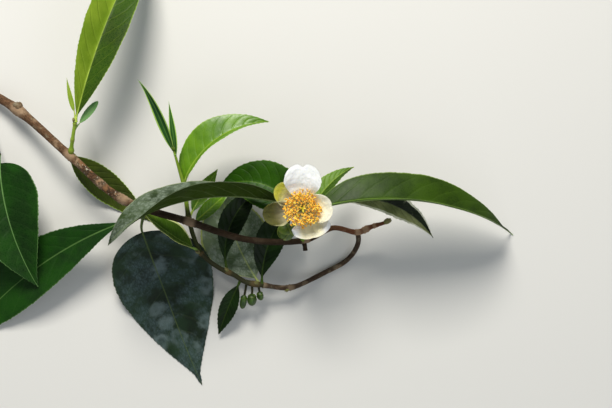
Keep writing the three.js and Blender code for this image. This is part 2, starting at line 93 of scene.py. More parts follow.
half_floor = FLOOR_WIDTH / 2
floor_mesh = bpy.data.meshes.new("floor")
floor_corners = [(x * half_floor, y * half_floor, 0) for x, y in ((-1, -1), (1, -1), (1, 1), (-1, 1))]
floor_mesh.from_pydata(floor_corners, [], [(0, 1, 2, 3)])
floor_paint = bpy.data.materials.new("pale floor")
floor_paint.use_nodes = True
floor_shader = floor_paint.node_tree.nodes["Principled BSDF"]
floor_shader.inputs["Base Color"].default_value = FLOOR_COLOUR
floor_shader.inputs["Roughness"].default_value = 0.9
floor_mesh.materials.append(floor_paint)
shown("floor", floor_mesh)


# Woody branch
# The bent stem is wood under thin grey-brown bark, ridged along its length, with pale dots and a
# ringed scar wherever a leaf has dropped. The side twig that turns back under it is the same wood.
BARK_SIDES = 20
BARK_STEP = 0.7  # mm between the rings of a stem
BARK_RIDGE = 0.16  # mm that the bark's ridges rise and sink
SCAR_DEPTH = 0.16  # mm, the rings at a leaf scar
FINE_STEPS = 400  # places that a stem is measured at
BRANCH_ROUTE = [
    (-143.9, 52.0, 2.4),
    (-123.9, 40.4, 8.0),
    (-100.2, 20.4, 17.0),
    (-77.6, 2.1, 22.5),
    (-48.7, -7.6, 25.0),
    (-23.6, -15.1, 24.0),
    (0.0, -15.2, 19.0),
    (11.5, -10.2, 15.0),
    (22.3, -12.1, 10.5),
    (27.8, -9.8, 11.0),
    (33.8, -7.9, 14.3),
]
BRANCH_SWELLINGS = [  # station, height in mm, and reach as a share of the way to the next station
    (1.0, 0.65, 0.15),
    (2.0, 0.3, 0.1),
    (2.6, 0.25, 0.1),
    (3.0, 0.5, 0.12),
    (4.0, 0.35, 0.1),
    (6.0, 0.25, 0.12),
    (8.0, 0.35, 0.2),
    (8.6, 0.65, 0.34),
    (9.3, 0.3, 0.15),
]
TWIG_LOW_ROUTE = [
    (22.3, -12.1, 10.5),
    (22.4, -17.0, 6.0),
    (18.5, -23.6, 1.8),
    (6.0, -30.8, 2.0),
    (-6.9, -36.0, 6.6),
    (-18.4, -34.8, 10.3),
]


def srgb(red, green, blue):
    """A colour on a screen's scale of 255 as the linear colour that a shader takes."""
    return tuple((part / 255) ** 2.2 for part in (red, green, blue)) + (1,)


def unit(vector):
    return vector / np.linalg.norm(vector)


def string_of(name, places, **numbers):
    """A string of edges through places in metres, which carries the numbers given, one a place."""
    mesh = bpy.data.meshes.new(name)
    mesh.from_pydata(places, [(i, i + 1) for i in range(len(places) - 1)], [])
    for label, values in numbers.items():
        mesh.attributes.new(label, "FLOAT", "POINT").data.foreach_set("value", values)
    return mesh


class Limb:
    """A tapering stem on a centripetal Catmull-Rom curve, swollen where leaves have sat."""

    def __init__(self, route, start, end, swellings=()):
        self.route = [np.array(point, float) for point in route]
        self.last = len(route) - 1
        self.start = start
        self.end = end
        self.swellings = swellings

    def at(self, station):
        """The place at a station: 0 at the first point of the route, 1 at the second, and so on."""
        i = min(int(station), self.last - 1)
        w = station - i
        route = self.route
        before = route[i - 1] if i > 0 else 2 * route[0] - route[1]
        after = route[i + 2] if i + 2 <= self.last else 2 * route[-1] - route[-2]
        a, b, c, d = before, route[i], route[i + 1], after
        first, middle, third = (np.linalg.norm(q - p) ** 0.5 for p, q in ((a, b), (b, c), (c, d)))
        leave = ((b - a) / first - (c - a) / (first + middle) + (c - b) / middle) * middle
        reach = ((c - b) / middle - (d - b) / (middle + third) + (d - c) / third) * middle
        return (
            (2 * w**3 - 3 * w**2 + 1) * b
            + (w**3 - 2 * w**2 + w) * leave
            + (3 * w**2 - 2 * w**3) * c
            + (w**3 - w**2) * reach
        )

    def tangent(self, station):
        near = 0.001
        return unit(self.at(min(station + near, self.last)) - self.at(max(station - near, 0)))

    def radius(self, station):
        swell = sum(h * math.exp(-(((station - s) / r) ** 2)) for s, h, r in self.swellings)
        return self.start + (self.end - self.start) * station / self.last + swell

    def scar(self, station):
        """One on a leaf scar and nothing away from it."""
        return max((math.exp(-(((station - s) / r) ** 2)) for s, h, r in self.swellings), default=0)

    def line(self, step):
        """A string of edges along the stem, with its radius, its scars and the way gone, in mm."""
        fine_stations = np.linspace(0, self.last, FINE_STEPS)
        fine = [self.at(s) for s in fine_stations]
        gone = np.concatenate([[0], np.cumsum([np.linalg.norm(q - p) for p, q in zip(fine, fine[1:])])])
        ways = np.linspace(0, gone[-1], max(6, int(gone[-1] / step)))
        stations = np.interp(ways, gone, fine_stations)
        return string_of(
            "stem line",
            [in_frame(self.at(s)) for s in stations],
            girth=[self.radius(s) * MM for s in stations],
            scar=[self.scar(s) for s in stations],
            along=ways,
        )


class Value:
    """A socket of a node tree. Arithmetic on it adds the Math nodes that work it out."""

    def __init__(self, tree, socket):
        self.tree = tree
        self.socket = socket

    def math(self, operation, *others):
        return self.tree.add("ShaderNodeMath", {"operation": operation}, dict(enumerate((self, *others))))

    def __add__(self, other):
        return self.math("ADD", other)

    def __sub__(self, other):
        return self.math("SUBTRACT", other)

    def __mul__(self, other):
        return self.math("MULTIPLY", other)

    def __truediv__(self, other):
        return self.math("DIVIDE", other)

    def __pow__(self, other):
        return self.math("POWER", other)

    def __neg__(self):
        return self.math("MULTIPLY", -1)

    def __rsub__(self, other):
        return (-self).math("ADD", other)

    __radd__ = __add__
    __rmul__ = __mul__

    def step(self, low, high):
        """Nothing below low, one above high, and smooth between."""
        ends = {"From Min": low, "From Max": high}
        return self.tree.add("ShaderNodeMapRange", {"interpolation_type": "SMOOTHSTEP"}, {0: self, **ends})

    def plus(self, other):
        """Sum of two vectors."""
        return self.tree.add("ShaderNodeVectorMath", {"operation": "ADD"}, {0: self, 1: other})

    def scaled(self, factor):
        """A vector times a number."""
        return self.tree.add("ShaderNodeVectorMath", {"operation": "SCALE"}, {0: self, "Scale": factor})

    def part(self, index):
        """The x, y or z of a vector, by its index."""
        return self.tree.add("ShaderNodeSeparateXYZ", None, {0: self}, index)


class Tree:
    """A node tree that takes nodes by type, settings and the values or links of their sockets."""

    def __init__(self, tree):
        self.tree = tree

    def add(self, kind, settings=None, values=None, output=0):
        node = self.tree.nodes.new(kind)
        for name, setting in (settings or {}).items():
            setattr(node, name, setting)
        for key, value in (values or {}).items():
            socket = node.inputs[key]
            for part in value if isinstance(value, list) else [value]:
                if isinstance(part, Value):
                    self.tree.links.new(part.socket, socket)
                else:
                    socket.default_value = part
        return Value(self, node.outputs[output])

    def blend(self, factor, one, two):
        """Colour one, going over to colour two as the factor goes from 0 to 1."""
        return self.add("ShaderNodeMix", {"data_type": "RGBA"}, {0: factor, 6: one, 7: two}, 2)

    def noise(self, place, scale, detail=3, roughness=0.55):
        values = {"Vector": place, "Scale": scale, "Detail": detail, "Roughness": roughness}
        return self.add("ShaderNodeTexNoise", None, values)

    def vector(self, x, y, z):
        return self.add("ShaderNodeCombineXYZ", None, {0: x, 1: y, 2: z})

    def wrapped(self, around, along, radius=1.0):
        """A place for a noise on a stem, which meets itself after a full turn."""
        return self.vector(around.math("COSINE") * radius, around.math("SINE") * radius, along)


def plain(piece):
    """The piece with what its modifiers make as its own mesh, and without them."""
    graph = bpy.context.evaluated_depsgraph_get()
    mesh = bpy.data.meshes.new_from_object(piece.evaluated_get(graph))
    piece.modifiers.clear()
    piece.data = mesh
    return piece


class Growth(Tree):
    """A Geometry Nodes tree with named inputs, which turns a string of edges into a plain mesh."""

    def __init__(self, name, inputs):
        group = bpy.data.node_groups.new(name, "GeometryNodeTree")
        super().__init__(group)
        kinds = {int: "NodeSocketInt", float: "NodeSocketFloat"}
        group.interface.new_socket("Line", in_out="INPUT", socket_type="NodeSocketGeometry")
        for label, value in inputs.items():
            socket = group.interface.new_socket(label, in_out="INPUT", socket_type=kinds[type(value)])
            socket.default_value = value
        group.interface.new_socket("Material", in_out="INPUT", socket_type="NodeSocketMaterial")
        group.interface.new_socket("Mesh", in_out="OUTPUT", socket_type="NodeSocketGeometry")
        self.entry = group.nodes.new("NodeGroupInput")

    def given(self, label):
        return Value(self, self.entry.outputs[label])

    def named(self, label, kind="FLOAT"):
        return self.add("GeometryNodeInputNamedAttribute", {"data_type": kind}, {"Name": label})

    def store(self, geometry, label, value):
        settings = {"data_type": "FLOAT", "domain": "POINT"}
        values = {"Geometry": geometry, "Name": label, "Value": value}
        return self.add("GeometryNodeStoreNamedAttribute", settings, values)

    def moved(self, geometry, offset):
        return self.add("GeometryNodeSetPosition", None, {"Geometry": geometry, "Offset": offset})

    def ring(self, sides):
        return self.add("GeometryNodeCurvePrimitiveCircle", None, {"Resolution": sides, "Radius": 1.0})

    def tube(self, line, ring):
        """A closed tube along a string of edges, as thick as the girth that the string carries."""
        curve = self.add("GeometryNodeMeshToCurve", None, {0: line})
        values = {"Curve": curve, "Profile Curve": ring, "Scale": self.named("girth"), "Fill Caps": True}
        return self.add("GeometryNodeCurveToMesh", None, values)

    def end(self, geometry):
        """Realized, smooth and in its material."""
        real = self.add("GeometryNodeRealizeInstances", None, {0: geometry})
        smooth = self.add("GeometryNodeSetShadeSmooth", None, {0: real})
        values = {"Geometry": smooth, "Material": self.given("Material")}
        finished = self.add("GeometryNodeSetMaterial", None, values)
        leave = self.tree.nodes.new("NodeGroupOutput")
        self.tree.links.new(finished.socket, leave.inputs[0])

    def grow(self, name, line, material, sizes):
        """The plain mesh object that this tree makes from a line, at the sizes given."""
        piece = shown(name, line)
        modifier = piece.modifiers.new("growth", "NODES")
        modifier.node_group = self.tree
        places = {item.name: item.identifier for item in self.tree.interface.items_tree}
        for label, value in {**sizes, "Material": material}.items():
            modifier[places[label]] = value
        return plain(piece)


def settle(piece, slot, *nodes):
    """The finished piece rides with the branch and stands for its solids."""
    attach(piece, "root")
    if nodes:
        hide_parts(*nodes)


class Finish(Tree):
    """A material whose colour, roughness and bump are worked out over the surface."""

    def __init__(self, name, **fixed):
        self.material = bpy.data.materials.new(name)
        self.material.use_nodes = True
        super().__init__(self.material.node_tree)
        self.shader = self.tree.nodes["Principled BSDF"]
        for label, value in fixed.items():
            self.shader.inputs[label.replace("_", " ")].default_value = value
        self.place = self.add("ShaderNodeTexCoord", None, None, "Object")

    def named(self, label):
        return self.add("ShaderNodeAttribute", {"attribute_name": label}, None, "Fac")

    def cells(self, place, scale, feature="F1"):
        """How far a place is from the middle of the cell that it lies in."""
        return self.add("ShaderNodeTexVoronoi", {"feature": feature}, {"Vector": place, "Scale": scale})

    def cracks(self, place, scale):
        """How far a place is from the nearest edge between two cells."""
        return self.cells(place, scale, "DISTANCE_TO_EDGE")

    def done(self, colour, roughness, relief, depth):
        """Colour, roughness, and a bump whose relief of 0 to 1 stands for depth in metres."""
        self.tree.links.new(colour.socket, self.shader.inputs["Base Color"])
        self.tree.links.new(roughness.socket, self.shader.inputs["Roughness"])
        bump = self.add("ShaderNodeBump", None, {"Height": relief, "Distance": depth, "Strength": 1.0})
        self.tree.links.new(bump.socket, self.shader.inputs["Normal"])
        return self.material


stems = Growth("stem", {"Sides": 16, "Ridge": 0.0, "Scar Ring": 0.0, "Seed": 0.0})
stem_turn = stems.add("GeometryNodeSplineParameter") * (2 * math.pi)
stem_ring = stems.store(stems.ring(stems.given("Sides")), "around", stem_turn)
stem_tube = stems.tube(stems.given("Line"), stem_ring)
stem_around = stems.named("around")
stem_along = stems.named("along")
stem_seed = stems.given("Seed")
stem_long = stems.noise(stems.wrapped(stem_around, stem_along * 0.09 + stem_seed), 2.0, 4)
stem_fine = stems.noise(stems.wrapped(stem_around, stem_along * 0.16 + stem_seed, 3.0), 1.5, 5, 0.7)
stem_rings = (stem_along * 5.2).math("SINE") * stems.named("scar") * stems.given("Scar Ring")
stem_shift = (stem_long + stem_fine - 1) * stems.given("Ridge") * 2 + stem_rings
stem_normal = stems.add("GeometryNodeInputNormal")
stems.end(stems.moved(stem_tube, stem_normal.scaled(stem_shift)))


def bark(name, colours, lichen_share, streaks, flaking, shaded, young):
    """Bark with streaks, pale dots and scars, lichen, stretches that flake or are young, and a stretch of
    painted shade.
    """
    ground, light, dark, lichen = colours
    finish = Finish(name, Specular_IOR_Level=0.15)
    along = finish.named("along")
    turned = finish.wrapped(finish.named("around"), along * 0.12)
    long_grain = finish.noise(turned, 5.0, 6, 0.7)
    patches = finish.noise(finish.place, 190, 4, 0.6)
    grit = finish.noise(finish.place, 1500, 3, 0.6)
    colour = finish.blend(long_grain.step(0.35, 0.65) * streaks, ground, dark)
    colour = finish.blend(patches.step(0.5, 0.68) * 0.8, colour, light)
    dots = 1 - finish.cells(turned, 7.0).step(0.05, 0.14)
    colour = finish.blend(dots * 0.7, colour, light)
    film = finish.noise(finish.place, 420, 5, 0.65).step(0.62 - lichen_share * 0.3, 0.7)
    colour = finish.blend(film * 0.75, colour, lichen)
    colour = finish.blend(grit.step(0.3, 0.7) * 0.35, colour, dark)
    start, end = shaded
    # Painted shade: a stretch along the branch is darkened towards a near-black brown.
    painted_shade = along.step(start, start + 16.0) * (1 - along.step(end - 25.0, end)) * 0.88
    colour = finish.blend(painted_shade, colour, PAINTED_SHADE_BARK)
    colour = finish.blend(along.step(*young) * 0.55, colour, YOUNG_BARK)
    colour = finish.blend(finish.named("scar").step(0.25, 0.9) * (patches * 0.5 + 0.35), colour, light)
    start, end = flaking
    zone = along.step(start - 3.0, start + 2.0) * (1 - along.step(end - 2.0, end + 2.0))
    crust = finish.noise(finish.place, 620, 4, 0.75)
    flakes = finish.noise(finish.place, 330, 3, 0.6)
    colour = finish.blend(zone * crust.step(0.42, 0.56) * 0.85, colour, dark)
    colour = finish.blend(zone * flakes.step(0.52, 0.6) * 0.8, colour, FLAKE_BROWN)
    colour = finish.blend(zone * crust.step(0.6, 0.66) * 0.9, colour, FLAKE_WHITE)
    relief = long_grain * 0.5 + grit * 0.3 + patches * 0.2 + zone * crust * 0.8
    return finish.done(colour, 0.72 + film * 0.2, relief, 0.0006)


# The colour of the painted shade on the branch's middle stretch.
PAINTED_SHADE_BARK = srgb(36, 28, 17)
FLAKE_BROWN = srgb(132, 96, 66)
FLAKE_WHITE = srgb(190, 182, 160)
YOUNG_BARK = srgb(108, 60, 38)
FLAKING = (60, 85)  # mm along the branch, where the bark comes off
SHADED = (84, 185)  # and where it is darkened with painted shade
YOUNG = (172, 190)  # and where it goes over to young red-brown bark
NOWHERE = (-90, -90)
BEYOND = (900, 901)
old_bark = bark(
    "old bark", (srgb(118, 88, 64), srgb(168, 142, 114), srgb(46, 32, 20), srgb(140, 132, 108)),
    lichen_share=0.2, streaks=0.8, flaking=FLAKING, shaded=SHADED, young=YOUNG,
)
low_bark = bark(
    "twig bark", (srgb(84, 68, 54), srgb(138, 120, 98), srgb(38, 29, 22), srgb(118, 116, 96)),
    lichen_share=0.25, streaks=0.7, flaking=NOWHERE, shaded=NOWHERE, young=BEYOND,
)
branch = Limb(BRANCH_ROUTE, 2.0, 0.75, BRANCH_SWELLINGS)
twig_low = Limb(TWIG_LOW_ROUTE, 1.1, 1.045, [(4, 0.35, 0.15), (5, 0.25, 0.15)])
BARK_SETTINGS = {"Sides": BARK_SIDES, "Ridge": BARK_RIDGE * MM, "Scar Ring": SCAR_DEPTH * MM}
for node, limb, skin, seed in (
    ("branch_main", branch, old_bark, 3.0),
    ("twig_low", twig_low, low_bark, 8.0),
):
    stem = stems.grow(f"{node}_bark", limb.line(BARK_STEP), skin, {**BARK_SETTINGS, "Seed": seed})
    settle(stem, "bark", node)


# Green shoots
# The younger wood that carries this year's leaves: smooth yellow-green bark, browner where it is
# older, a little ridged, and thickened at every leaf.
SHOOT_SIDES = 14
SHOOT_STEP = 0.5  # mm
SHOOT_RIDGE = 0.05
SHOOT_SCAR = 0.05
TWIG_RISE = Limb(
    [
        (-18.2, -34.8, 10.3),
        (-25.7, -33.4, 11.5),
        (-30.8, -30.3, 12.5),
        (-36.7, -27.5, 13.0),
        (-41.8, -23.9, 13.5),
        (-45.0, -20.7, 14.0),
    ],
    1.045,
    0.95,
    [(0.5, 0.35, 0.4), (2.4, 0.25, 0.3), (5, 0.3, 0.4)],
)
TWIG_UPRIGHT = Limb(
    [
        (-45.0, -20.9, 13.9),
        (-46.9, -16.6, 14.5),
        (-48.6, -11.5, 15.5),
        (-49.8, -5.9, 17.5),
        (-50.5, -0.4, 19.5),
        (-51.0, 5.0, 22.0),
        (-51.6, 8.8, 24.0),
    ],
    0.95,
    0.95,
    [(3, 0.35, 0.35), (6, 0.2, 0.3)],
)
SHOOT_TIP = Limb([(-51.5, 8.4, 23.8), (-53.5, 16.2, 28.0), (-55.2, 22.6, 31.0)], 0.855, 0.4)
SHOOT_LEFT = Limb(
    [(-100.0, 20.6, 17.0), (-98.5, 27.0, 22.0), (-96.8, 34.6, 26.0)],
    0.9,
    0.7,
    [(0.32, 0.5, 0.16), (1.0, 0.2, 0.1), (1.88, 0.25, 0.08)],
)
FLOWER_SPUR = Limb(
    [
        (-1.3, -15.6, 19.5),
        (-1.9, -11.6, 23.0),
        (-1.4, -6.6, 26.5),
        (-1.4, -0.2, 29.3),
        (-1.4, 0.04, 31.77),
    ],
    1.15,
    0.96,
    [(2.6, 0.25, 0.4)],
)
SPUR_FOOT = Limb([(-139.3, 48.0, 4.0), (-136.0, 35.0, 8.0), (-131.0, 20.8, 12.0)], 0.95, 0.7)


def shoot_bark(name, young, old, ripe, pale):
    """Smooth young bark, brown where it is ripe: below one way along the shoot, green above another."""
    finish = Finish(name, Specular_IOR_Level=0.22)
    along = finish.named("along")
    turned = finish.wrapped(finish.named("around"), along * 0.1)
    streaks = finish.noise(turned, 4.0, 5, 0.65)
    patches = finish.noise(finish.place, 160, 4, 0.6)
    low, high = ripe
    age = 1 - (along + patches * 8.0).step(low, high)
    colour = finish.blend(patches.step(0.3, 0.7) * 0.4, young, pale)
    colour = finish.blend((streaks * 0.4 + patches * 0.3 + age * 0.6).step(0.5, 0.8), colour, old)
    dots = 1 - finish.cells(turned, 9.0).step(0.04, 0.1)
    colour = finish.blend(dots * 0.5, colour, pale)
    colour = finish.blend(finish.named("scar").step(0.4, 0.95) * 0.4, colour, SCAR_BROWN)
    return finish.done(colour, 0.5 + streaks * 0.2, streaks * 0.6 + patches * 0.4, 0.0003)


SCAR_BROWN = srgb(112, 92, 58)
YOUNG_SHOOT = srgb(128, 158, 46)
PALE_SHOOT = srgb(160, 184, 76)
RIPE_SHOOT = srgb(46, 46, 24)
yellow_shoot = shoot_bark("yellow shoot", YOUNG_SHOOT, srgb(112, 100, 44), (-20, -10), PALE_SHOOT)
upright_shoot = shoot_bark("upright shoot", YOUNG_SHOOT, srgb(52, 58, 24), (18, 32), PALE_SHOOT)
olive_shoot = shoot_bark("olive shoot", srgb(54, 66, 26), RIPE_SHOOT, (20, 60), srgb(78, 86, 42))
flower_shoot = shoot_bark("flower shoot", srgb(104, 140, 46), srgb(100, 92, 52), (0, 8), srgb(150, 172, 84))
SHOOT_SETTINGS = {"Sides": SHOOT_SIDES, "Ridge": SHOOT_RIDGE * MM, "Scar Ring": SHOOT_SCAR * MM}
for node, limb, skin, seed in (
    ("twig_rise", TWIG_RISE, olive_shoot, 1.0),
    ("twig_upright", TWIG_UPRIGHT, upright_shoot, 2.0),
    ("shoot_tip", SHOOT_TIP, yellow_shoot, 5.0),
    ("shoot_left", SHOOT_LEFT, yellow_shoot, 6.0),
    ("spur_flower", FLOWER_SPUR, flower_shoot, 7.0),
    ("spur_foot", SPUR_FOOT, olive_shoot, 9.0),
):
    shoot = stems.grow(f"{node}_bark", limb.line(SHOOT_STEP), skin, {**SHOOT_SETTINGS, "Seed": seed})
    settle(shoot, "green_stem", node)


# Old mottled leaves
# Last year's leaves: leathery blades folded along a midrib that stands out below, with small teeth
# along the edges. A pale, crackled film of lichen covers the upper face of these three.
BLADE_ROWS = 150
STALK_ROWS = 14
BLADE_ACROSS = 25
ROW_CROWDING = 0.55  # share of the rows' spacing that closes up towards both ends of a blade
EDGE_CROWDING = 0.3  # and of the columns' towards its edges
BLADE_THICKNESS = 0.4  # mm
MERGE_WITHIN = 0.005  # mm, the two faces at the edge
STALK_RADIUS = 0.75
STALK_FLARE = 0.35  # share by which a stalk is thicker where it leaves its limb
STALK_DEPTH = 0.6  # share of the limb's radius at which a stalk starts inside it
RIB_RADIUS = 0.5  # at the foot of a blade, running out to its tip
RIB_TAPER = 0.82
RIB_SUNK = 0.5  # share of its radius that the rib's middle lies below the blade
RIB_STEPS = 60
REST_HEIGHT = 0.41  # mm above the floor, the middle of a blade that lies pressed on it
REST_SOFTNESS = 1.2
FLOOR_GAP = 0.02  # mm between the floor and a rib that lies on it


def towards(heading, rise):
    """The direction at a heading round from +x and a rise above level, both in degrees."""
    turn = math.radians(heading)
    lift = math.radians(rise)
    return np.array([math.cos(turn) * math.cos(lift), math.sin(turn) * math.cos(lift), math.sin(lift)])


def outline(share, full, pointed):
    """Half width of a blade at a share of its length, as a share of its greatest."""
    peak = full / (full + pointed)
    return share**full * (1 - share) ** pointed / (peak**full * (1 - peak) ** pointed)


def face_of(along, turn):
    """Directions across a blade and out of its face, at a turn about its rib."""
    level = unit(np.array([-along[1], along[0], 0]))
    above = np.cross(along, level)
    return level * math.cos(turn) + above * math.sin(turn), above * math.cos(turn) - level * math.sin(turn)


class Blade:
    """One leaf, petal or scale: a rib that bends on its way, and the half width along it."""

    def __init__(self, root, length, width, heading, rise, **shape):
        self.root = np.array(root, float)
        self.length = length
        self.width = width
        self.heading = heading
        self.rise = rise
        self.shape = shape

    def get(self, key, usual=0.0):
        return self.shape.get(key, usual)

    def direction(self, share):
        """Which way the rib runs at a share of its length."""
        bend = self.rise - self.get("droop") * share - self.get("hook") * share**4
        return towards(self.heading + self.get("sweep") * share + self.get("veer") * share**4, bend)

    def stalk_direction(self):
        return towards(self.get("stalk_heading", self.heading), self.get("stalk_rise", self.rise))

    def half_share(self, share):
        """Half width as a share of its greatest: pointed, or broad to the end where that is round."""
        if self.get("round_end"):
            widest = self.get("widest", 0.65)
            return math.sin(math.pi / 2 * min(1, share / widest)) ** self.get("full", 1)
        tail = self.get("tail")
        body = outline(min(1, share / (1 - tail)), self.get("full", 0.85), self.get("pointed", 1.2))
        if not tail:
            return body
        tip = self.get("tail_width", 0.1) * share**4 * min(1, (1 - share) / tail)
        return math.hypot(body, tip)

    def rib(self, count):
        """Places along the rib and their shares, closer together towards both ends."""
        even = np.linspace(0, 1, count)
        crowded = 0.5 - 0.5 * np.cos(math.pi * even)
        shares = (1 - ROW_CROWDING) * even + ROW_CROWDING * crowded
        points = [self.root + self.stalk_direction() * self.get("stalk")]
        for i in range(RIB_STEPS):
            points.append(points[-1] + self.direction((i + 0.5) / RIB_STEPS) * self.length / RIB_STEPS)
        marks = np.linspace(0, 1, RIB_STEPS + 1)
        return shares, np.stack([np.interp(shares, marks, column) for column in np.array(points).T], axis=1)

    def stalk_rows(self, foot, limb, station):
        """Places of the stalk, from inside the bark of its limb to the blade, which it runs into."""
        out = self.stalk_direction()
        start = self.root + out * limb.radius(station) * STALK_DEPTH
        reach = np.linalg.norm(foot - start)
        along = self.direction(0)
        rows = []
        for w in np.linspace(0, 1, STALK_ROWS, endpoint=False):
            rows.append(
                (2 * w**3 - 3 * w**2 + 1) * start
                + (w**3 - 2 * w**2 + w) * out * reach
                + (3 * w**2 - 2 * w**3) * foot
                + (w**3 - w**2) * along * reach
            )
        return rows

    def line(self, rows, limb=None, station=0, placed=None):
        """The rib as a string of edges that carries all that the blade tree needs, in metres."""
        shares, points = self.rib(rows)
        stalk = self.stalk_rows(points[0], limb, station) if limb else []
        turns = [math.radians(self.get("roll") + self.get("twist") * s**2) for s in shares]
        faces = [face_of(self.direction(s), turn) for s, turn in zip(shares, turns)]
        sides = [faces[0][0]] * len(stalk) + [side for side, up in faces]
        ups = [faces[0][1]] * len(stalk) + [up for side, up in faces]
        places = [*stalk, *points]
        if placed:
            places = [placed(point) for point in places]
            sides = [placed(side) - placed(np.zeros(3)) for side in sides]
            ups = [placed(up) - placed(np.zeros(3)) for up in ups]
        rib_radius = self.get("rib_radius", RIB_RADIUS)
        rib_radii = [rib_radius * (1 - RIB_TAPER * s) * MM for s in shares]
        stalk_radii = np.linspace(self.get("stalk_radius", STALK_RADIUS), rib_radius, len(stalk) + 1)[:-1]
        flare = [1 + STALK_FLARE * math.exp(-i / 2) for i in range(len(stalk))]
        nothing = [0] * len(stalk)
        mesh = string_of(
            "rib line",
            [in_frame(point) for point in places],
            share=nothing + list(shares),
            far=nothing + [s * self.length * MM for s in shares],
            half=nothing + [self.width / 2 * self.half_share(s) * MM for s in shares],
            girth=[radius * f * MM for radius, f in zip(stalk_radii, flare)] + rib_radii,
            drop=nothing + [radius * RIB_SUNK for radius in rib_radii],
        )
        for label, vectors in (("side", sides), ("up", ups)):
            flat = np.array(vectors).ravel()
            mesh.attributes.new(label, "FLOAT_VECTOR", "POINT").data.foreach_set("vector", flat)
        return mesh

    def settings(self, **more):
        """The inputs of the blade tree that follow from this blade's shape, and more."""
        return {
            "Rows": BLADE_ROWS,
            "Fold": math.radians(self.get("fold", 20.0)),
            "Cup": float(self.get("cup")),
            "Wave": float(self.get("wave", 0.03)),
            "Waves": float(self.get("waves", 2.5)),
            "Round": self.get("round_end") * self.length * MM,
            "Notch": self.get("notch") * self.length * MM,
            "Lopsided": float(self.get("lopsided")),
            "Seed": self.length * 0.37 + self.width * 1.13,
            **more,
        }


def vein_phase(share, across, veins, slant):
    """Whole numbers lie on the side veins, which leave the rib in turn and curve towards the tip."""
    flank = across.math("ABSOLUTE")
    other_side = across.math("GREATER_THAN", 0.0) * 0.5
    return share * veins - (flank * 0.7 + flank * flank * 0.5) * slant + other_side


BLADE_INPUTS = {
    "Rows": BLADE_ROWS,
    "Stalk Rows": 0,
    "Across": BLADE_ACROSS,
    "Fold": 0.3,
    "Cup": 0.0,
    "Wave": 0.03,
    "Waves": 2.5,
    "Round": 0.0,
    "Notch": 0.0,
    "Notch Width": 0.15,
    "Lopsided": 0.0,
    "Crease": 0.1,
    "Tooth": 0.0,
    "Tooth Pitch": 0.002,
    "Vein Relief": 0.0,
    "Veins": 10.0,
    "Vein Slant": 1.5,
    "Crumple": 0.0,
    "Crumple Scale": 90.0,
    "Uneven": 0.04,
    "Thickness": BLADE_THICKNESS * MM,
    "Pressed": 1.0,
    "Seed": 0.0,
}
blades = Growth("blade", BLADE_INPUTS)
blade_line = blades.given("Line")
blade_rows = blades.given("Rows")
blade_sizes = {"Size X": 1.0, "Size Y": 2.0, "Vertices X": blade_rows, "Vertices Y": blades.given("Across")}
blade_grid = blades.add("GeometryNodeMeshGrid", None, blade_sizes)
blade_spot = blades.add("GeometryNodeInputPosition")
blade_row = ((blade_spot.part(0) + 0.5) * (blade_rows - 1)).math("ROUND") + blades.given("Stalk Rows")
blade_y = blade_spot.part(1)


def row_value(label, kind="FLOAT"):
    """What the rib carries at the row of a grid point."""
    source = blades.add("GeometryNodeInputPosition") if label == "position" else blades.named(label, kind)
    values = {"Geometry": blade_line, "Value": source, "Index": blade_row}
    return blades.add("GeometryNodeSampleIndex", {"data_type": kind, "domain": "POINT"}, values)


across = blade_y * (blade_y.math("ABSOLUTE") * EDGE_CROWDING + (1 - EDGE_CROWDING))
share = row_value("share")
far = row_value("far")
half = row_value("half")
side = row_value("side", "FLOAT_VECTOR")
up = row_value("up", "FLOAT_VECTOR")
place = row_value("position", "FLOAT_VECTOR")
flank = across.math("ABSOLUTE")
seed = blades.given("Seed")
crease = blades.given("Crease")
opened = (across * across + crease * crease).math("SQRT") - crease
opened = opened / ((crease * crease + 1).math("SQRT") - crease)
edge_noise = blades.noise(blades.vector(far * 160, across.math("SIGN") * 3, seed), 1.0, 3)
uneven = (edge_noise - 0.5) * blades.given("Uneven") * 2 + across.math("SIGN") * blades.given("Lopsided")
open_half = half * (uneven + 1)
tooth_phase = (far / blades.given("Tooth Pitch") + edge_noise * 1.5).math("FRACT")
tooth = tooth_phase**1.6 * blades.given("Tooth") * flank**14.0
tooth = tooth * share.step(0.05, 0.2) * across.math("SIGN")
fold = blades.given("Fold")
ripple_turn = share * blades.given("Waves") * (2 * math.pi) + across.math("LESS_THAN", 0.0) * 2.0
ripple = ripple_turn.math("SINE") * flank * blades.given("Wave")
vein_turn = vein_phase(share, across, blades.given("Veins"), blades.given("Vein Slant")) * math.pi
quilt = vein_turn.math("SINE").math("ABSOLUTE") ** 0.7 * (1 - flank.step(0.7, 1.0)) * flank.step(0.0, 0.25)
crumple = blades.noise(blades.vector(far, across * half, seed), blades.given("Crumple Scale"), 3) - 0.5
open_ends = (share * (1 - share) * 4).step(0.0, 0.3)
lift = open_half * (
    fold.math("SINE") * opened
    + blades.given("Cup") * flank * flank
    + ripple
)
lift = lift + (quilt * blades.given("Vein Relief") + crumple * blades.given("Crumple")) * open_ends
forward = blades.add("ShaderNodeVectorMath", {"operation": "CROSS_PRODUCT"}, {0: side, 1: up})
round_back = 1 - (1 - flank**2.3).math("MAXIMUM", 0.0).math("SQRT")
notch_turn = across / blades.given("Notch Width")
notch_back = (-(notch_turn * notch_turn)).math("EXPONENT") * share**8.0 * blades.given("Notch")
drawn_back = round_back * share * share * blades.given("Round") + notch_back
moved = place.plus(side.scaled(across * open_half * fold.math("COSINE") + tooth))
moved = moved.plus(up.scaled(lift)).plus(forward.scaled(-drawn_back))


def pressed(geometry):
    """What would lie in the floor bends flat just above it."""
    height = blades.add("GeometryNodeInputPosition").part(2)
    over = height - REST_HEIGHT * MM
    softness = REST_SOFTNESS * MM
    flat = (over + (over * over + softness * softness).math("SQRT")) * 0.5 + REST_HEIGHT * MM
    return blades.moved(geometry, blades.vector(0.0, 0.0, (flat - height) * blades.given("Pressed")))


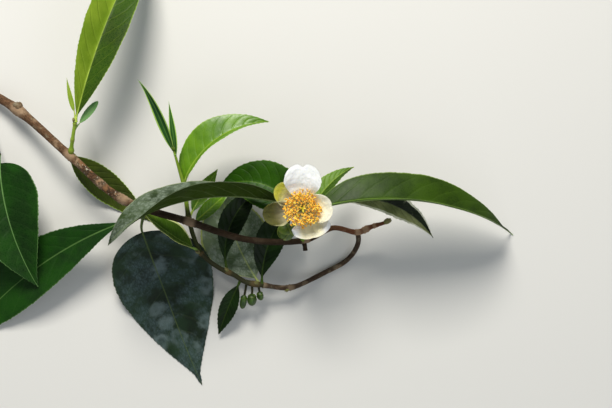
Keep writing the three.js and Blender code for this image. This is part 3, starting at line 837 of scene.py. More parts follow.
blade_sheet = blade_grid
for label, value in (("across", across), ("share", share), ("far", far), ("wide", across * half)):
    blade_sheet = blades.store(blade_sheet, label, value)
lens = (1 - flank * flank).math("MAXIMUM", 0.0).math("SQRT") * open_ends * blades.given("Thickness") * 0.5
stored_up = {"Geometry": blade_sheet, "Name": "face", "Value": up.scaled(lens)}
blade_sheet = blades.add(
    "GeometryNodeStoreNamedAttribute", {"data_type": "FLOAT_VECTOR", "domain": "POINT"}, stored_up
)
blade_sheet = blades.add("GeometryNodeSetPosition", None, {"Geometry": blade_sheet, "Position": moved})
blade_sheet = pressed(blade_sheet)
face_shift = blades.named("face", "FLOAT_VECTOR")
upper = blades.moved(blade_sheet, face_shift)
lower = blades.moved(blade_sheet, face_shift.scaled(-1))
lower = blades.store(blades.add("GeometryNodeFlipFaces", None, {"Mesh": lower}), "under", 1.0)
both = blades.add("GeometryNodeJoinGeometry", None, {0: [upper, lower]})
both = blades.add("GeometryNodeMergeByDistance", None, {"Geometry": both, "Distance": MERGE_WITHIN * MM})
rim_only = blades.named("across").math("ABSOLUTE").math("GREATER_THAN", 0.999)
both = blades.add(
    "GeometryNodeSetShadeSmooth", {"domain": "EDGE"}, {0: both, "Selection": rim_only, "Shade Smooth": False}
)
rib_drop = blades.named("up", "FLOAT_VECTOR").scaled(-blades.named("drop"))
rib_line = blades.moved(pressed(blade_line), rib_drop)
rib_tube = blades.store(blades.tube(rib_line, blades.ring(8)), "rib", 1.0)
rib_height = blades.add("GeometryNodeInputPosition").part(2)
rib_rise = blades.vector(0.0, 0.0, (FLOOR_GAP * MM - rib_height).math("MAXIMUM", 0.0))
rib_tube = blades.moved(rib_tube, rib_rise)
blades.end(blades.add("GeometryNodeJoinGeometry", None, {0: [both, rib_tube]}))


SPOT_CELLS = 84.0  # cells a metre, a pale spot in each


def leaf_finish(name, top, deep, under, rib, **look):
    """A leathery leaf: side veins, a pale rib, a thin bright margin, and lichen where it is old.

    The colours are those of its upper face, the darker clouds on it, its lower face and its rib. A folded
    leaf can give one half its own colours, as painted light and painted shade.
    """
    finish = Finish(name, Specular_IOR_Level=look.get("specular", 0.15))
    share = finish.named("share")
    across = finish.named("across")
    flank = across.math("ABSOLUTE")
    wide = finish.named("wide")
    under_face = finish.named("under")
    spot = finish.vector(finish.named("far"), wide, 0.0)
    broad = finish.noise(finish.place, 70, 3)
    grain = finish.noise(finish.place, 1100, 4, 0.7)
    bend = (finish.noise(finish.place, 160, 2) - 0.5) * 0.35
    phase = vein_phase(share, across, look.get("veins", 10.0), 1.5) + bend
    near_vein = ((phase.math("FRACT") - 0.5) * 2).math("ABSOLUTE")
    fade = 1 - flank.step(0.72, 0.98)
    vein = near_vein.step(0.88, 0.985) * fade
    net = 1 - finish.cracks(spot, 1250.0).step(0.0, 0.36)
    groove = near_vein.step(0.7, 1.0) * fade
    colour = finish.blend(broad.step(0.35, 0.65), top, deep)
    # Painted light and shade: one half of a folded leaf takes its own colours, lighter or darker than the
    # other.
    if "other_half" in look:
        painted_half_top, painted_half_deep = look["other_half"]
        other = finish.blend(broad.step(0.35, 0.65), painted_half_top, painted_half_deep)
        colour = finish.blend(across.step(-0.06, 0.06), other, colour)
    colour = finish.blend(grain.step(0.45, 0.75) * look.get("grain", 0.2), colour, deep)
    colour = finish.blend(net * 0.05, colour, rib)
    colour = finish.blend(vein * look.get("vein", 0.14), colour, rib)
    under_deep = tuple(part * 0.55 for part in under[:3]) + (1,)
    below = finish.blend(broad.step(0.3, 0.7) * 0.7, under, under_deep)
    below = finish.blend(vein * 0.2, below, rib)
    film = 0.0
    if "film" in look:
        reach = finish.noise(finish.place, look.get("film_scale", 130), 4, 0.6)
        stray = finish.add("ShaderNodeTexNoise", None, {"Vector": finish.place, "Scale": 420.0}, 1)
        flecked = finish.vector(finish.named("far") * 0.7, wide * 1.5, 0.0).plus(stray.scaled(0.0022))
        crackle = finish.cracks(flecked, look.get("film_cell", 620.0)).step(0.03, 0.2)
        clumps = finish.noise(finish.place, 380, 4, 0.7).step(0.32, 0.56)
        edge = 0.66 - look["film_share"] * 0.36
        film = reach.step(edge, edge + 0.14) * (crackle * 0.5 + 0.5) * (clumps * 0.8 + 0.2)
        film = (film * (grain * 0.6 + 0.7)).math("MINIMUM", 1.0)
        colour = finish.blend(film * look.get("film_cover", 0.75), colour, look["film"])
    if "spots" in look:
        ragged = finish.noise(finish.place, 260, 3) - 0.5
        from_ring = finish.cells(finish.place, SPOT_CELLS) + grain * 0.12 + ragged * 0.5 - 0.27
        ring = 1 - (from_ring * 4.6).math("ABSOLUTE").step(0.0, 1.0)
        colour = finish.blend(ring * broad.step(0.34, 0.56) * 0.5, colour, look["spots"])
    colour = finish.blend(under_face.step(0.3, 0.7), colour, below)
    rim_start = look.get("margin_from", 0.955)
    rim = flank.step(rim_start, rim_start + 0.035) * look.get("margin_share", 0.5)
    colour = finish.blend(rim, colour, look.get("margin", rib))
    line_width = (1 - share * 0.6) * look.get("rib_line", 0.00045)
    line = 1 - (wide.math("ABSOLUTE") / line_width).step(0.5, 1.1)
    colour = finish.blend(line * look.get("rib_share", 0.6) * (1 - finish.named("rib")), colour, rib)
    stalk = finish.blend(grain.step(0.3, 0.8) * 0.4, rib, deep)
    colour = finish.blend(finish.named("rib").step(0.4, 0.6), colour, stalk)
    rough = look["rough"] + grain * 0.16 + film * 0.3 + under_face * 0.15
    relief = 0.5 - groove * look.get("groove", 0.3) - net * 0.02 + grain * 0.12 + film * 0.2
    return finish.done(colour, rough, relief, 0.0004)


def grow_leaf(name, slot, finish, limb, station, sizes, **more):
    """A leaf on its limb, standing for the solids of the same name."""
    leaf = Blade(limb.at(station), **sizes)
    line = leaf.line(BLADE_ROWS, limb, station)
    settings = {
        "Stalk Rows": STALK_ROWS,
        "Tooth": 0.3 * MM,
        "Vein Relief": 0.14 * MM,
        "Crumple": 0.6 * MM,
        **more,
    }
    settle(blades.grow(f"{name}_blade", line, finish, leaf.settings(**settings)), slot, name)


MOTTLED_LEAF = dict(
    length=87, width=27, stalk=7.2, stalk_heading=177, stalk_rise=32, heading=163, sweep=58,
    rise=22, droop=40, hook=34, roll=100, twist=-76, fold=28, full=1.15, pointed=1.35, veer=10,
)
CURLED_LEAF = dict(
    length=50, width=11, stalk=13.6, stalk_heading=19, stalk_rise=-6, heading=15, sweep=-70,
    rise=-12, droop=4, roll=-8, fold=28, full=1.4, pointed=1.4, wave=0.14, waves=5.5, stalk_radius=0.65,
)
GREY_LEAF = dict(
    length=44, width=29, stalk=3.3, heading=124, sweep=-24, rise=-24, droop=-28, fold=8, full=1.1,
)
# The dark olive of the lower face is partly the leaf's own colour and partly painted shade.
mottled_finish = leaf_finish(
    "mottled leaf", srgb(56, 72, 44), srgb(34, 48, 26), srgb(50, 68, 3), srgb(112, 128, 78),
    film=srgb(120, 132, 117), film_share=0.78, film_cell=540.0, margin=srgb(160, 172, 128), rough=0.5,
)
# Painted shadow: the upper-face colours are near black for the leaf above it; the pale olive-grey other half
# is the lit side.
curled_finish = leaf_finish(
    "curled leaf", srgb(30, 40, 24), srgb(20, 28, 18), srgb(34, 42, 28), srgb(96, 104, 74),
    other_half=(srgb(168, 170, 116), srgb(122, 130, 84)), film=srgb(176, 176, 146), film_share=0.3,
    margin=srgb(232, 230, 204), margin_share=0.95, margin_from=0.8, rough=0.5,
)
grey_finish = leaf_finish(
    "grey leaf", srgb(112, 128, 98), srgb(76, 94, 66), srgb(56, 66, 42), srgb(160, 172, 106),
    film=srgb(156, 168, 150), film_share=0.72, margin=srgb(184, 194, 108), margin_share=0.8,
    margin_from=0.93, rough=0.5,
)
grow_leaf("leaf_mottled", "old_leaf", mottled_finish, FLOWER_SPUR, 2.9, MOTTLED_LEAF)
RAGGED_EDGE = {"Uneven": 0.22, "Crumple": 1.1 * MM}
grow_leaf("leaf_curled", "old_leaf", curled_finish, FLOWER_SPUR, 2.45, CURLED_LEAF, **RAGGED_EDGE)
grow_leaf("leaf_grey", "old_leaf", grey_finish, TWIG_RISE, 0.2, GREY_LEAF)


# Mature green leaves
# Sound leaves of the season before: satin, evenly green, with a pale rib and small forward teeth.
# The longest arches away from the flower and hangs at its tip.
RIGHT_LEAF = dict(
    length=102, width=25, stalk=8.1, stalk_heading=3, stalk_rise=21, heading=14, sweep=-50,
    rise=14, droop=66, hook=16, roll=-58, twist=6, fold=32, full=0.55, pointed=1.0, tail=0.12,
    tail_width=0.08,
)
BEHIND_LEAF = dict(
    length=40, width=21, stalk=4, heading=118, sweep=88, rise=0, droop=24, roll=10, fold=14,
)
OLIVE_LEAF = dict(
    length=47, width=13, stalk=4.8, heading=-44, sweep=8, rise=-36, droop=-34, roll=0, fold=10,
)
EDGE_LEAF = dict(
    length=26.5, width=12, stalk=3.5, heading=152, sweep=-16, rise=18, droop=16, roll=50, fold=30,
)
green_finish = leaf_finish(
    "green leaf", srgb(50, 74, 10), srgb(33, 52, 5), srgb(84, 110, 46), srgb(116, 146, 62),
    margin=srgb(140, 164, 80), rough=0.36, vein=0.05, groove=0.14, rib_share=0.45,
)
behind_finish = leaf_finish(
    "shaded green leaf", srgb(40, 76, 5), srgb(19, 42, 2), srgb(76, 104, 42), srgb(92, 128, 32),
    rough=0.34, vein=0.04, groove=0.22, rib_share=0.4,
)
olive_finish = leaf_finish(
    "olive leaf", srgb(66, 78, 20), srgb(42, 52, 12), srgb(84, 96, 40), srgb(104, 122, 48),
    margin=srgb(150, 186, 56), margin_share=0.9, rough=0.45, vein=0.08,
)
edge_finish = leaf_finish(
    "bright edged leaf", srgb(92, 118, 36), srgb(62, 92, 22), srgb(96, 122, 60), srgb(128, 156, 74),
    margin=srgb(222, 230, 150), margin_share=1.0, margin_from=0.86, rough=0.36,
)
grow_leaf("leaf_right", "leaf", green_finish, FLOWER_SPUR, 2.7, RIGHT_LEAF)
grow_leaf("leaf_behind_left", "leaf", behind_finish, FLOWER_SPUR, 1.8, BEHIND_LEAF)
grow_leaf("leaf_olive", "leaf", olive_finish, branch, 1.86, OLIVE_LEAF)
SMALL_TEETH = {"Tooth": 0.16 * MM, "Tooth Pitch": 1.4 * MM}
grow_leaf("leaf_edge", "leaf", edge_finish, TWIG_UPRIGHT, 0.2, EDGE_LEAF, **SMALL_TEETH)


# Young yellow-green leaves
# This season's leaves, thin, smooth and bright. The tallest and the one behind the flower stand
# folded, with one half in the light and the other darker green as painted shade.
TALL_LEAF = dict(
    length=92, width=22, stalk=2.5, stalk_radius=0.85, heading=74.5, sweep=-9, rise=14, droop=58,
    hook=18, roll=13, twist=-10, fold=34, full=1.05, pointed=1.1,
)
BRIGHT_LEAF = dict(
    length=47, width=19, stalk=6.2, stalk_heading=92, heading=69, sweep=-68, rise=20, droop=34,
    roll=-46, fold=34,
)
BEHIND_RIGHT_LEAF = dict(
    length=28.5, width=9.5, stalk=7, stalk_heading=57, heading=71, sweep=-46, rise=-5, droop=4,
    roll=-40, fold=24,
)
YELLOW_LEAF = dict(length=21, width=7, stalk=3, heading=40, sweep=4, rise=12, droop=16, roll=-20, fold=24)
PALE_LEAF = dict(
    length=22, width=7.5, stalk=3.4, heading=62, sweep=-4, rise=-24, droop=-16, roll=-10, fold=24
)
BRIGHT_RIB = srgb(176, 198, 84)
bright_finish = leaf_finish(
    "bright leaf", srgb(96, 138, 10), srgb(64, 106, 4), srgb(126, 158, 60), BRIGHT_RIB,
    margin=srgb(156, 188, 60), rough=0.28, specular=0.4, grain=0.12, vein=0.05, groove=0.2, rib_share=0.4,
)
# The dark green of the tall leaf's other half is painted shade.
tall_finish = leaf_finish(
    "tall leaf", srgb(130, 156, 44), srgb(106, 134, 32), srgb(104, 134, 44), BRIGHT_RIB,
    other_half=(srgb(36, 66, 3), srgb(24, 50, 2)), margin=srgb(150, 180, 60), rough=0.42,
    grain=0.1, vein=0.06, veins=13.0, rib_share=0.35,
)
# The dark green of this leaf's other half is painted shade.
back_finish = leaf_finish(
    "lit leaf behind", srgb(96, 130, 46), srgb(72, 106, 28), srgb(126, 158, 60), BRIGHT_RIB,
    other_half=(srgb(42, 74, 8), srgb(28, 56, 4)), rough=0.34, vein=0.06, rib_share=0.3,
)
grow_leaf("leaf_tall", "bright_leaf", tall_finish, SHOOT_LEFT, 1.95, TALL_LEAF)
grow_leaf("leaf_bright", "bright_leaf", bright_finish, TWIG_UPRIGHT, 4.75, BRIGHT_LEAF)
grow_leaf("leaf_behind_right", "bright_leaf", back_finish, FLOWER_SPUR, 1.2, BEHIND_RIGHT_LEAF)
grow_leaf("leaf_yellow", "bright_leaf", bright_finish, TWIG_UPRIGHT, 2.4, YELLOW_LEAF, **SMALL_TEETH)
grow_leaf("leaf_pale", "bright_leaf", bright_finish, TWIG_UPRIGHT, 3.0, PALE_LEAF, **SMALL_TEETH)


# Slender leaves of the growing tips
# The newest leaves, still folded along their ribs round the tip of each shoot.
TIP_LONG_LEAF = dict(
    length=35, width=5.0, stalk=1.4, heading=110, sweep=4, veer=16, rise=26, droop=10, fold=42,
    full=0.9, pointed=1.25,
)
TIP_SHORT_LEAF = dict(
    length=23, width=3.4, stalk=1.6, heading=96, sweep=2, rise=12, droop=8, fold=36, full=0.8, pointed=1.3,
)
SLIM_LEAF = dict(
    length=14.5, width=2.3, stalk=8, stalk_heading=90, heading=107, sweep=-8, rise=-4, fold=30, full=0.55,
)
SMALL_LEAF = dict(length=12, width=3.4, stalk=3.8, heading=50, rise=0, fold=18, full=0.7, pointed=0.6)
tip_finish = leaf_finish(
    "tip leaf", srgb(46, 92, 40), srgb(22, 56, 36), srgb(110, 150, 60), srgb(130, 170, 80),
    margin=srgb(164, 200, 92), margin_share=0.85, margin_from=0.72, rough=0.32, vein=0.04, groove=0.06,
    rib_share=0.2,
)
slim_finish = leaf_finish(
    "slim leaf", srgb(136, 158, 56), srgb(104, 132, 38), srgb(130, 150, 70), srgb(170, 186, 90),
    margin=srgb(180, 196, 110), rough=0.36, vein=0.04, groove=0.06, rib_share=0.2,
)
small_finish = leaf_finish(
    "small leaf", srgb(104, 144, 88), srgb(70, 112, 62), srgb(110, 140, 84), srgb(150, 180, 110),
    margin=srgb(170, 200, 120), rough=0.4, vein=0.04, groove=0.06, rib_share=0.2,
)
TIP_SHAPE = {"Tooth": 0.1 * MM, "Tooth Pitch": 1.2 * MM, "Crumple": 0.2 * MM, "Vein Relief": 0.05 * MM}
for name, finish, limb, station, sizes in (
    ("tip_leaf_long", tip_finish, SHOOT_TIP, 1.65, TIP_LONG_LEAF),
    ("tip_leaf_short", tip_finish, SHOOT_TIP, 1.35, TIP_SHORT_LEAF),
    ("left_leaf_slim", slim_finish, SHOOT_LEFT, 1.55, SLIM_LEAF),
    ("left_leaf_small", small_finish, SHOOT_LEFT, 1.55, SMALL_LEAF),
):
    slim = dict(stalk_radius=0.5, rib_radius=0.25, **sizes)
    grow_leaf(name, "bright_leaf", finish, limb, station, slim, **TIP_SHAPE)


# Dark leaves in the shade
# The old leaves below and behind the branch, blue-green and dull, the broadest of them with round
# pale spots. Each hangs by its own stalk from the branch, the side twig or the short left stem.
BROAD_LEAF = dict(
    length=76, width=42.5, stalk=12.5, stalk_heading=-100, heading=-74, sweep=8, rise=-36, droop=-34,
    roll=0, fold=6, full=0.5, pointed=1.14, tail=0.04, tail_width=0.05, lopsided=0.1,
)
CORNER_LEAF = dict(
    length=98, width=24, stalk=8.5, stalk_heading=-104, heading=199, sweep=34, rise=-18, droop=-6,
    roll=8, fold=12, full=1.35, pointed=1.15,
)
HANGING_LEAF = dict(
    length=56, width=33, stalk=4, stalk_radius=0.55, heading=-86, sweep=26, rise=8, droop=20, roll=4,
    fold=18, full=0.45, pointed=1.15,
)
SHADED_LEAF = dict(length=37, width=13, stalk=3, heading=88, sweep=-44, rise=14, droop=4, fold=20, full=1.15)
NARROW_LEAF = dict(
    length=37, width=11.5, stalk=3.3, heading=98, sweep=-64, rise=14, droop=12, fold=22, full=1.6
)
LOW_LEAF = dict(length=25, width=8, stalk=3, heading=-116, sweep=8, rise=-20, droop=0, fold=22)
broad_finish = leaf_finish(
    "broad dark leaf", srgb(32, 50, 34), srgb(17, 28, 20), srgb(60, 70, 50), srgb(74, 88, 50),
    spots=srgb(108, 124, 124), film=srgb(82, 99, 102), film_share=0.66, film_scale=60, film_cover=0.5,
    margin_share=0.15, rough=0.45, vein=0.12,
)
corner_finish = leaf_finish(
    "corner leaf", srgb(22, 60, 5), srgb(13, 40, 10), srgb(52, 78, 36), srgb(88, 120, 64),
    rough=0.4, vein=0.03, groove=0.18, rib_line=0.0004,
)
hanging_finish = leaf_finish(
    "hanging leaf", srgb(22, 60, 2), srgb(12, 40, 1), srgb(52, 80, 28), srgb(108, 146, 84),
    rough=0.32, vein=0.02, groove=0.15, rib_line=0.0004,
)
# Painted shade: these greens are the old leaves' own dark green, deepened as painted shade.
shade_finish = leaf_finish(
    "leaf in shade", srgb(22, 44, 5), srgb(11, 24, 2), srgb(38, 52, 20), srgb(58, 78, 26),
    rough=0.42, vein=0.08, rib_share=0.4,
)
grow_leaf("leaf_broad", "dark_leaf", broad_finish, branch, 3.35, BROAD_LEAF)
grow_leaf("leaf_corner", "dark_leaf", corner_finish, branch, 3.12, CORNER_LEAF)
grow_leaf("leaf_hanging", "dark_leaf", hanging_finish, SPUR_FOOT, 1.96, HANGING_LEAF)
grow_leaf("leaf_shaded", "dark_leaf", shade_finish, TWIG_RISE, 0.1, SHADED_LEAF)
grow_leaf("leaf_narrow", "dark_leaf", shade_finish, TWIG_RISE, 2.5, NARROW_LEAF)
grow_leaf("leaf_low", "dark_leaf", shade_finish, TWIG_RISE, 1.4, LOW_LEAF)


# Petals
# Five thin petals, white going over to cream, set round the stamens and grown to the cup below them.
# Each is cupped and softly crinkled, three are notched, and the flower nods a little towards the
# foot of the view. The lower left petal is dark olive as a painted shadow.
FLOWER_PLACE = np.array([-1.4, -1.6, 39.5])
FLOWER_TILT = math.radians(12)
PETAL_ROOT = (1.5, -0.2)  # mm from the flower's axis, and up it
PETAL_ROWS = 90
PETAL_ACROSS = 41
PETAL_THICKNESS = 0.3
PETAL_SETTINGS = {
    "Rows": PETAL_ROWS,
    "Across": PETAL_ACROSS,
    "Crease": 0.4,
    "Crumple": 1.3 * MM,
    "Crumple Scale": 230.0,
    "Uneven": 0.08,
    "Thickness": PETAL_THICKNESS * MM,
    "Pressed": 0.0,
}


def in_flower(point):
    """A point on the flower's own axes, in mm, in the branch's layout."""
    x, y, z = point
    cosine = math.cos(FLOWER_TILT)
    sine = math.sin(FLOWER_TILT)
    return FLOWER_PLACE + np.array([x, y * cosine - z * sine, y * sine + z * cosine])


def petal_finish(name, white, shade, base, tip, tip_share, **look):
    """Matt and softly crinkled, with faint veins that fan out from the base.

    The colours are the petal's own, the one of its clouds and veins, and those at its base and tip. On
    petals in shadow these hold painted shade, and a pale rim can be a painted highlight.
    """
    finish = Finish(name, Subsurface_Weight=0.2, Subsurface_Scale=0.002, Specular_IOR_Level=0.25)
    finish.shader.inputs["Subsurface Radius"].default_value = (1.0, 0.9, 0.6)
    share = finish.named("share")
    across = finish.named("across")
    fan = finish.vector(across * 14, share * 1.6, 0.0)
    veins = finish.noise(fan, 1.0, 2, 0.5)
    clouds = finish.noise(finish.place, 210, 4, 0.6)
    colour = finish.blend(clouds.step(0.35, 0.7) * 0.6, white, shade)
    colour = finish.blend(veins.step(0.45, 0.7) * 0.25, colour, shade)
    colour = finish.blend((1 - share.step(0.05, look.get("base_to", 0.4))) * 0.7, colour, base)
    tip_from = look.get("tip_from", 0.65)
    colour = finish.blend((share + clouds * 0.3).step(tip_from, tip_from + 0.5) * tip_share, colour, tip)
    rim_from = look.get("rim_from", 0.93)
    rim = (across.math("ABSOLUTE") + clouds * 0.2).step(rim_from, rim_from + look.get("rim_soft", 0.2))
    rim = rim * look.get("rim_share", 0.4)
    colour = finish.blend(rim, colour, look.get("rim", shade))
    return finish.done(colour, 0.66 + clouds * 0.15, veins * 0.35 + clouds * 0.65, 0.0005)


WHITE = srgb(252, 252, 250)
CREAM = srgb(246, 238, 198)
white_petal = petal_finish("white petal", WHITE, srgb(232, 236, 228), srgb(246, 236, 178), WHITE, 0.0)
cream_petal = petal_finish("cream petal", CREAM, srgb(230, 224, 178), srgb(240, 216, 130), WHITE, 0.3)
# The yellow-green of the outer part is partly painted shade inside the cup, and the pale rim is a painted
# highlight.
yellow_petal = petal_finish(
    "yellow petal", srgb(250, 248, 230), srgb(228, 224, 160), WHITE, srgb(186, 182, 44), 0.95,
    tip_from=0.52, rim=srgb(240, 240, 196), rim_from=0.95, rim_share=0.8,
)
folded_petal = petal_finish(
    "folded petal", srgb(224, 216, 176), srgb(196, 188, 138), srgb(226, 212, 150), srgb(240, 236, 210), 0.8,
    tip_from=0.7, rim=WHITE, rim_from=0.55, rim_soft=0.4, rim_share=0.95,
)
# Painted shadow: the dark olive body and tip stand for shade on the petal; its base and rim keep the petal's
# cream.
shadowed_petal = petal_finish(
    "greenish petal", srgb(84, 80, 38), srgb(58, 56, 24), srgb(226, 218, 188), srgb(62, 64, 28), 0.8,
    base_to=0.8, tip_from=0.6, rim=srgb(206, 202, 150), rim_from=0.94, rim_share=0.85,
)
PETALS = (
    ("petal_top", white_petal, dict(
        heading=90, length=19.8, width=15.4, rise=36, droop=34, cup=0.18, notch=0.075, lift=0.8,
        round_end=0.38, widest=0.98, wave=0.07,
    )),
    ("petal_upper_left", yellow_petal, dict(
        heading=134, length=15.2, width=10.5, rise=24, droop=-6, cup=0.4, notch=0.0, lift=-0.9,
        round_end=0.42, widest=0.8, wave=0.05,
    )),
    ("petal_lower_left", shadowed_petal, dict(
        heading=188, length=15.5, width=10.4, rise=24, droop=22, cup=0.42, notch=0.0, lift=0.2,
        round_end=0.45, widest=0.8, wave=0.08,
    )),
    ("petal_lower", folded_petal, dict(
        heading=298, sweep=-18, length=12.8, width=15.8, rise=20, droop=2, hook=-52, cup=0.3, notch=0.03,
        lift=0, round_end=0.3, widest=0.88, wave=0.12,
    )),
    ("petal_right", cream_petal, dict(
        heading=12, length=13.5, width=12.5, rise=46, droop=22, cup=0.3, notch=0.03, lift=0.6,
        round_end=0.42, widest=0.8, wave=0.06,
    )),
)
root_out, root_up = PETAL_ROOT
for name, finish, sizes in PETALS:
    turn = math.radians(sizes["heading"])
    petal_foot = (root_out * math.cos(turn), root_out * math.sin(turn), sizes["lift"] + root_up)
    petal = Blade(petal_foot, **sizes, fold=0, full=0.8, rib_radius=0.1, waves=1.5)
    petal_line = petal.line(PETAL_ROWS, placed=in_flower)
    petal_sizes = petal.settings(**PETAL_SETTINGS)
    settle(blades.grow(f"{name}_blade", petal_line, finish, petal_sizes), "petal", name)


# Stamens and pistil
# A boss of fine pale threads, each tipped with a two-lobed orange-yellow anther, spread by the
# sunflower's rule, with the three-armed yellow-green style standing among them.
STAMEN_COUNT = 330
STAMEN_LENGTH = 10.0
STAMEN_SPREAD = 50.0  # degrees that the outermost lean
THREAD_RADIUS = 0.11
ANTHER_LOBE = (0.31, 0.29, 0.6)  # half its width, depth and length
ANTHER_SPLAY = 0.25
BOSS_RADIUS = 0.99  # mm from the flower's axis to the foot of the outermost thread
BOSS_NOD = math.radians(9)  # the boss stands straighter than the petals' cup
STYLE_LENGTH = 8.5
GOLDEN_TURN = math.radians(137.508)

boss = Growth("stamen boss", {"Count": STAMEN_COUNT, "Length": 0.01, "Spread": 0.87, "Thread": 0.0001})


def drawn(low, high, seed):
    """A number drawn anew for each stamen."""
    return boss.add("FunctionNodeRandomValue", None, {2: low, 3: high, "Seed": seed}, 1)


boss_index = boss.add("GeometryNodeInputIndex")
boss_share = ((boss_index + 0.5) / boss.given("Count")).math("SQRT")
boss_lean = (0.14 + boss_share * 0.86 + (drawn(0.0, 1.0, 2) - 0.5) * 0.26) * boss.given("Spread")
boss_turn = boss_index * GOLDEN_TURN + drawn(-0.3, 0.3, 3)
boss_out = boss_lean.math("SINE")
boss_up = boss_lean.math("COSINE")
boss_aim = boss.vector(boss_out * boss_turn.math("COSINE"), boss_out * boss_turn.math("SINE"), boss_up)
boss_foot = boss.wrapped(boss_turn, 0.0, boss_share * (BOSS_RADIUS * MM))
boss_points = boss.add("GeometryNodePoints", None, {"Count": boss.given("Count"), "Position": boss_foot})
boss_size = (1 - boss_share * 0.12) * (drawn(0.0, 1.0, 4) * 0.36 + 0.72) * boss.given("Length")
boss_aim = boss.add("FunctionNodeAlignRotationToVector", {"axis": "Z"}, {"Factor": 1.0, "Vector": boss_aim})
boss_spin = boss.vector(0.0, 0.0, drawn(0.0, 6.283, 9))
boss_twirl = boss.add("FunctionNodeEulerToRotation", None, {0: boss_spin})
boss_twist = {"Rotation": boss_aim, "Rotate By": boss_twirl}
boss_aim = boss.add("FunctionNodeRotateRotation", {"rotation_space": "LOCAL"}, boss_twist)
thread_path = {"Resolution": 6, "Start": (0, 0, 0), "Middle": (0.09, 0, 0.55), "End": (0, 0, 1)}
thread_curve = boss.add("GeometryNodeCurveQuadraticBezier", None, thread_path)
thread_ring = {"Resolution": 4, "Radius": boss.given("Thread") / boss.given("Length")}
thread_ring = boss.add("GeometryNodeCurvePrimitiveCircle", None, thread_ring)
thread = boss.add(
    "GeometryNodeCurveToMesh", None, {"Curve": thread_curve, "Profile Curve": thread_ring, "Fill Caps": True}
)
thread = boss.store(thread, "share", boss.add("GeometryNodeInputPosition").part(2))
anther_scale = tuple(size / STAMEN_LENGTH for size in ANTHER_LOBE)
lobes = []
for lobe_side in (-1, 1):
    lobe = boss.add("GeometryNodeMeshIcoSphere", None, {"Radius": 1.0, "Subdivisions": 2})
    lobes.append(boss.add("GeometryNodeTransform", None, {
        "Geometry": lobe,
        "Translation": (lobe_side * anther_scale[0] * 0.8, 0, 1.0),
        "Rotation": (0, lobe_side * ANTHER_SPLAY, 0),
        "Scale": anther_scale,
    }))
anther = boss.store(boss.add("GeometryNodeJoinGeometry", None, {0: lobes}), "anther", 1.0)
stamen = boss.add("GeometryNodeJoinGeometry", None, {0: [thread, anther]})
boss_stamens = {"Points": boss_points, "Instance": stamen, "Rotation": boss_aim, "Scale": boss_size}
boss.end(boss.add("GeometryNodeInstanceOnPoints", None, boss_stamens))

stamen_finish = Finish("stamens", Subsurface_Weight=0.3, Subsurface_Scale=0.001)
stamen_grain = stamen_finish.noise(stamen_finish.place, 900, 3)
thread_share = stamen_finish.named("share").step(0.3, 1.0)
stamen_colour = stamen_finish.blend(thread_share, srgb(255, 246, 206), srgb(255, 220, 130))
anther_colour = stamen_finish.blend(stamen_grain.step(0.35, 0.65), srgb(255, 216, 92), srgb(255, 180, 48))
stamen_colour = stamen_finish.blend(stamen_finish.named("anther"), stamen_colour, anther_colour)
stamen_colour = stamen_finish.blend(stamen_finish.named("style"), stamen_colour, srgb(204, 196, 64))
stamen_paint = stamen_finish.done(stamen_colour, 0.7 - stamen_grain * 0.1, stamen_grain, 0.0002)


def place_in_flower(mesh, nod=0.0):
    """A mesh made on the flower's own axes, in metres, put where the flower is, nodding less."""
    for vertex in mesh.vertices:
        x, y, z = np.array(vertex.co) / MM
        turned_back = (x, y * math.cos(nod) + z * math.sin(nod), z * math.cos(nod) - y * math.sin(nod))
        vertex.co = in_frame(in_flower(turned_back))


def joined(name, pieces):
    """One piece from several, each a plain mesh."""
    bpy.ops.object.select_all(action="DESELECT")
    for piece in pieces:
        piece.select_set(True)
    bpy.context.view_layer.objects.active = pieces[0]
    bpy.ops.object.join()
    pieces[0].name = name
    return pieces[0]


def style_part(name, points, radii):
    """A round stalk of the style through points on the flower's own axes, in mm."""
    places = [np.array(point) * MM for point in points]
    girth = [radius * MM for radius in radii]
    line = string_of(name, places, girth=girth, style=[1.0] * len(points))
    return stems.grow(name, line, stamen_paint, SMOOTH_STEM)


stamen_seed = bpy.data.meshes.new("stamen seed")
stamen_seed.from_pydata([(0, 0, 0)], [], [])
stamen_sizes = {
    "Count": STAMEN_COUNT,
    "Length": STAMEN_LENGTH * MM,
    "Spread": math.radians(STAMEN_SPREAD),
    "Thread": THREAD_RADIUS * MM,
}
pistil_parts = [boss.grow("stamen_threads", stamen_seed, stamen_paint, stamen_sizes)]
SMOOTH_STEM = {"Sides": 10, "Ridge": 0.0, "Scar Ring": 0.0, "Seed": 0.0}
ARM_SPREAD = 1.35  # mm that each arm of the style leans out
ARM_RADIUS = 0.38
style_steps = np.linspace(0, 1, 15)
style_path = [(0.15 * s, 0, STYLE_LENGTH * 0.7 * s) for s in style_steps]
pistil_parts.append(style_part("style", style_path, [0.7 - 0.15 * s for s in style_steps]))
for k in range(3):
    turn = 0.7 + k * 2 * math.pi / 3
    arm_path = []
    for s in style_steps:
        spread = ARM_SPREAD * s**1.6
        height = STYLE_LENGTH * (0.68 + 0.36 * s)
        arm_path.append((spread * math.cos(turn) + 0.1, spread * math.sin(turn), height))
    arm_radii = [ARM_RADIUS * (1.05 - s**9) ** 0.5 for s in style_steps]
    pistil_parts.append(style_part(f"style_arm_{k}", arm_path, arm_radii))
for part in pistil_parts:
    place_in_flower(part.data, BOSS_NOD)
settle(joined("stamen_boss", pistil_parts), "stamen", "stamens")


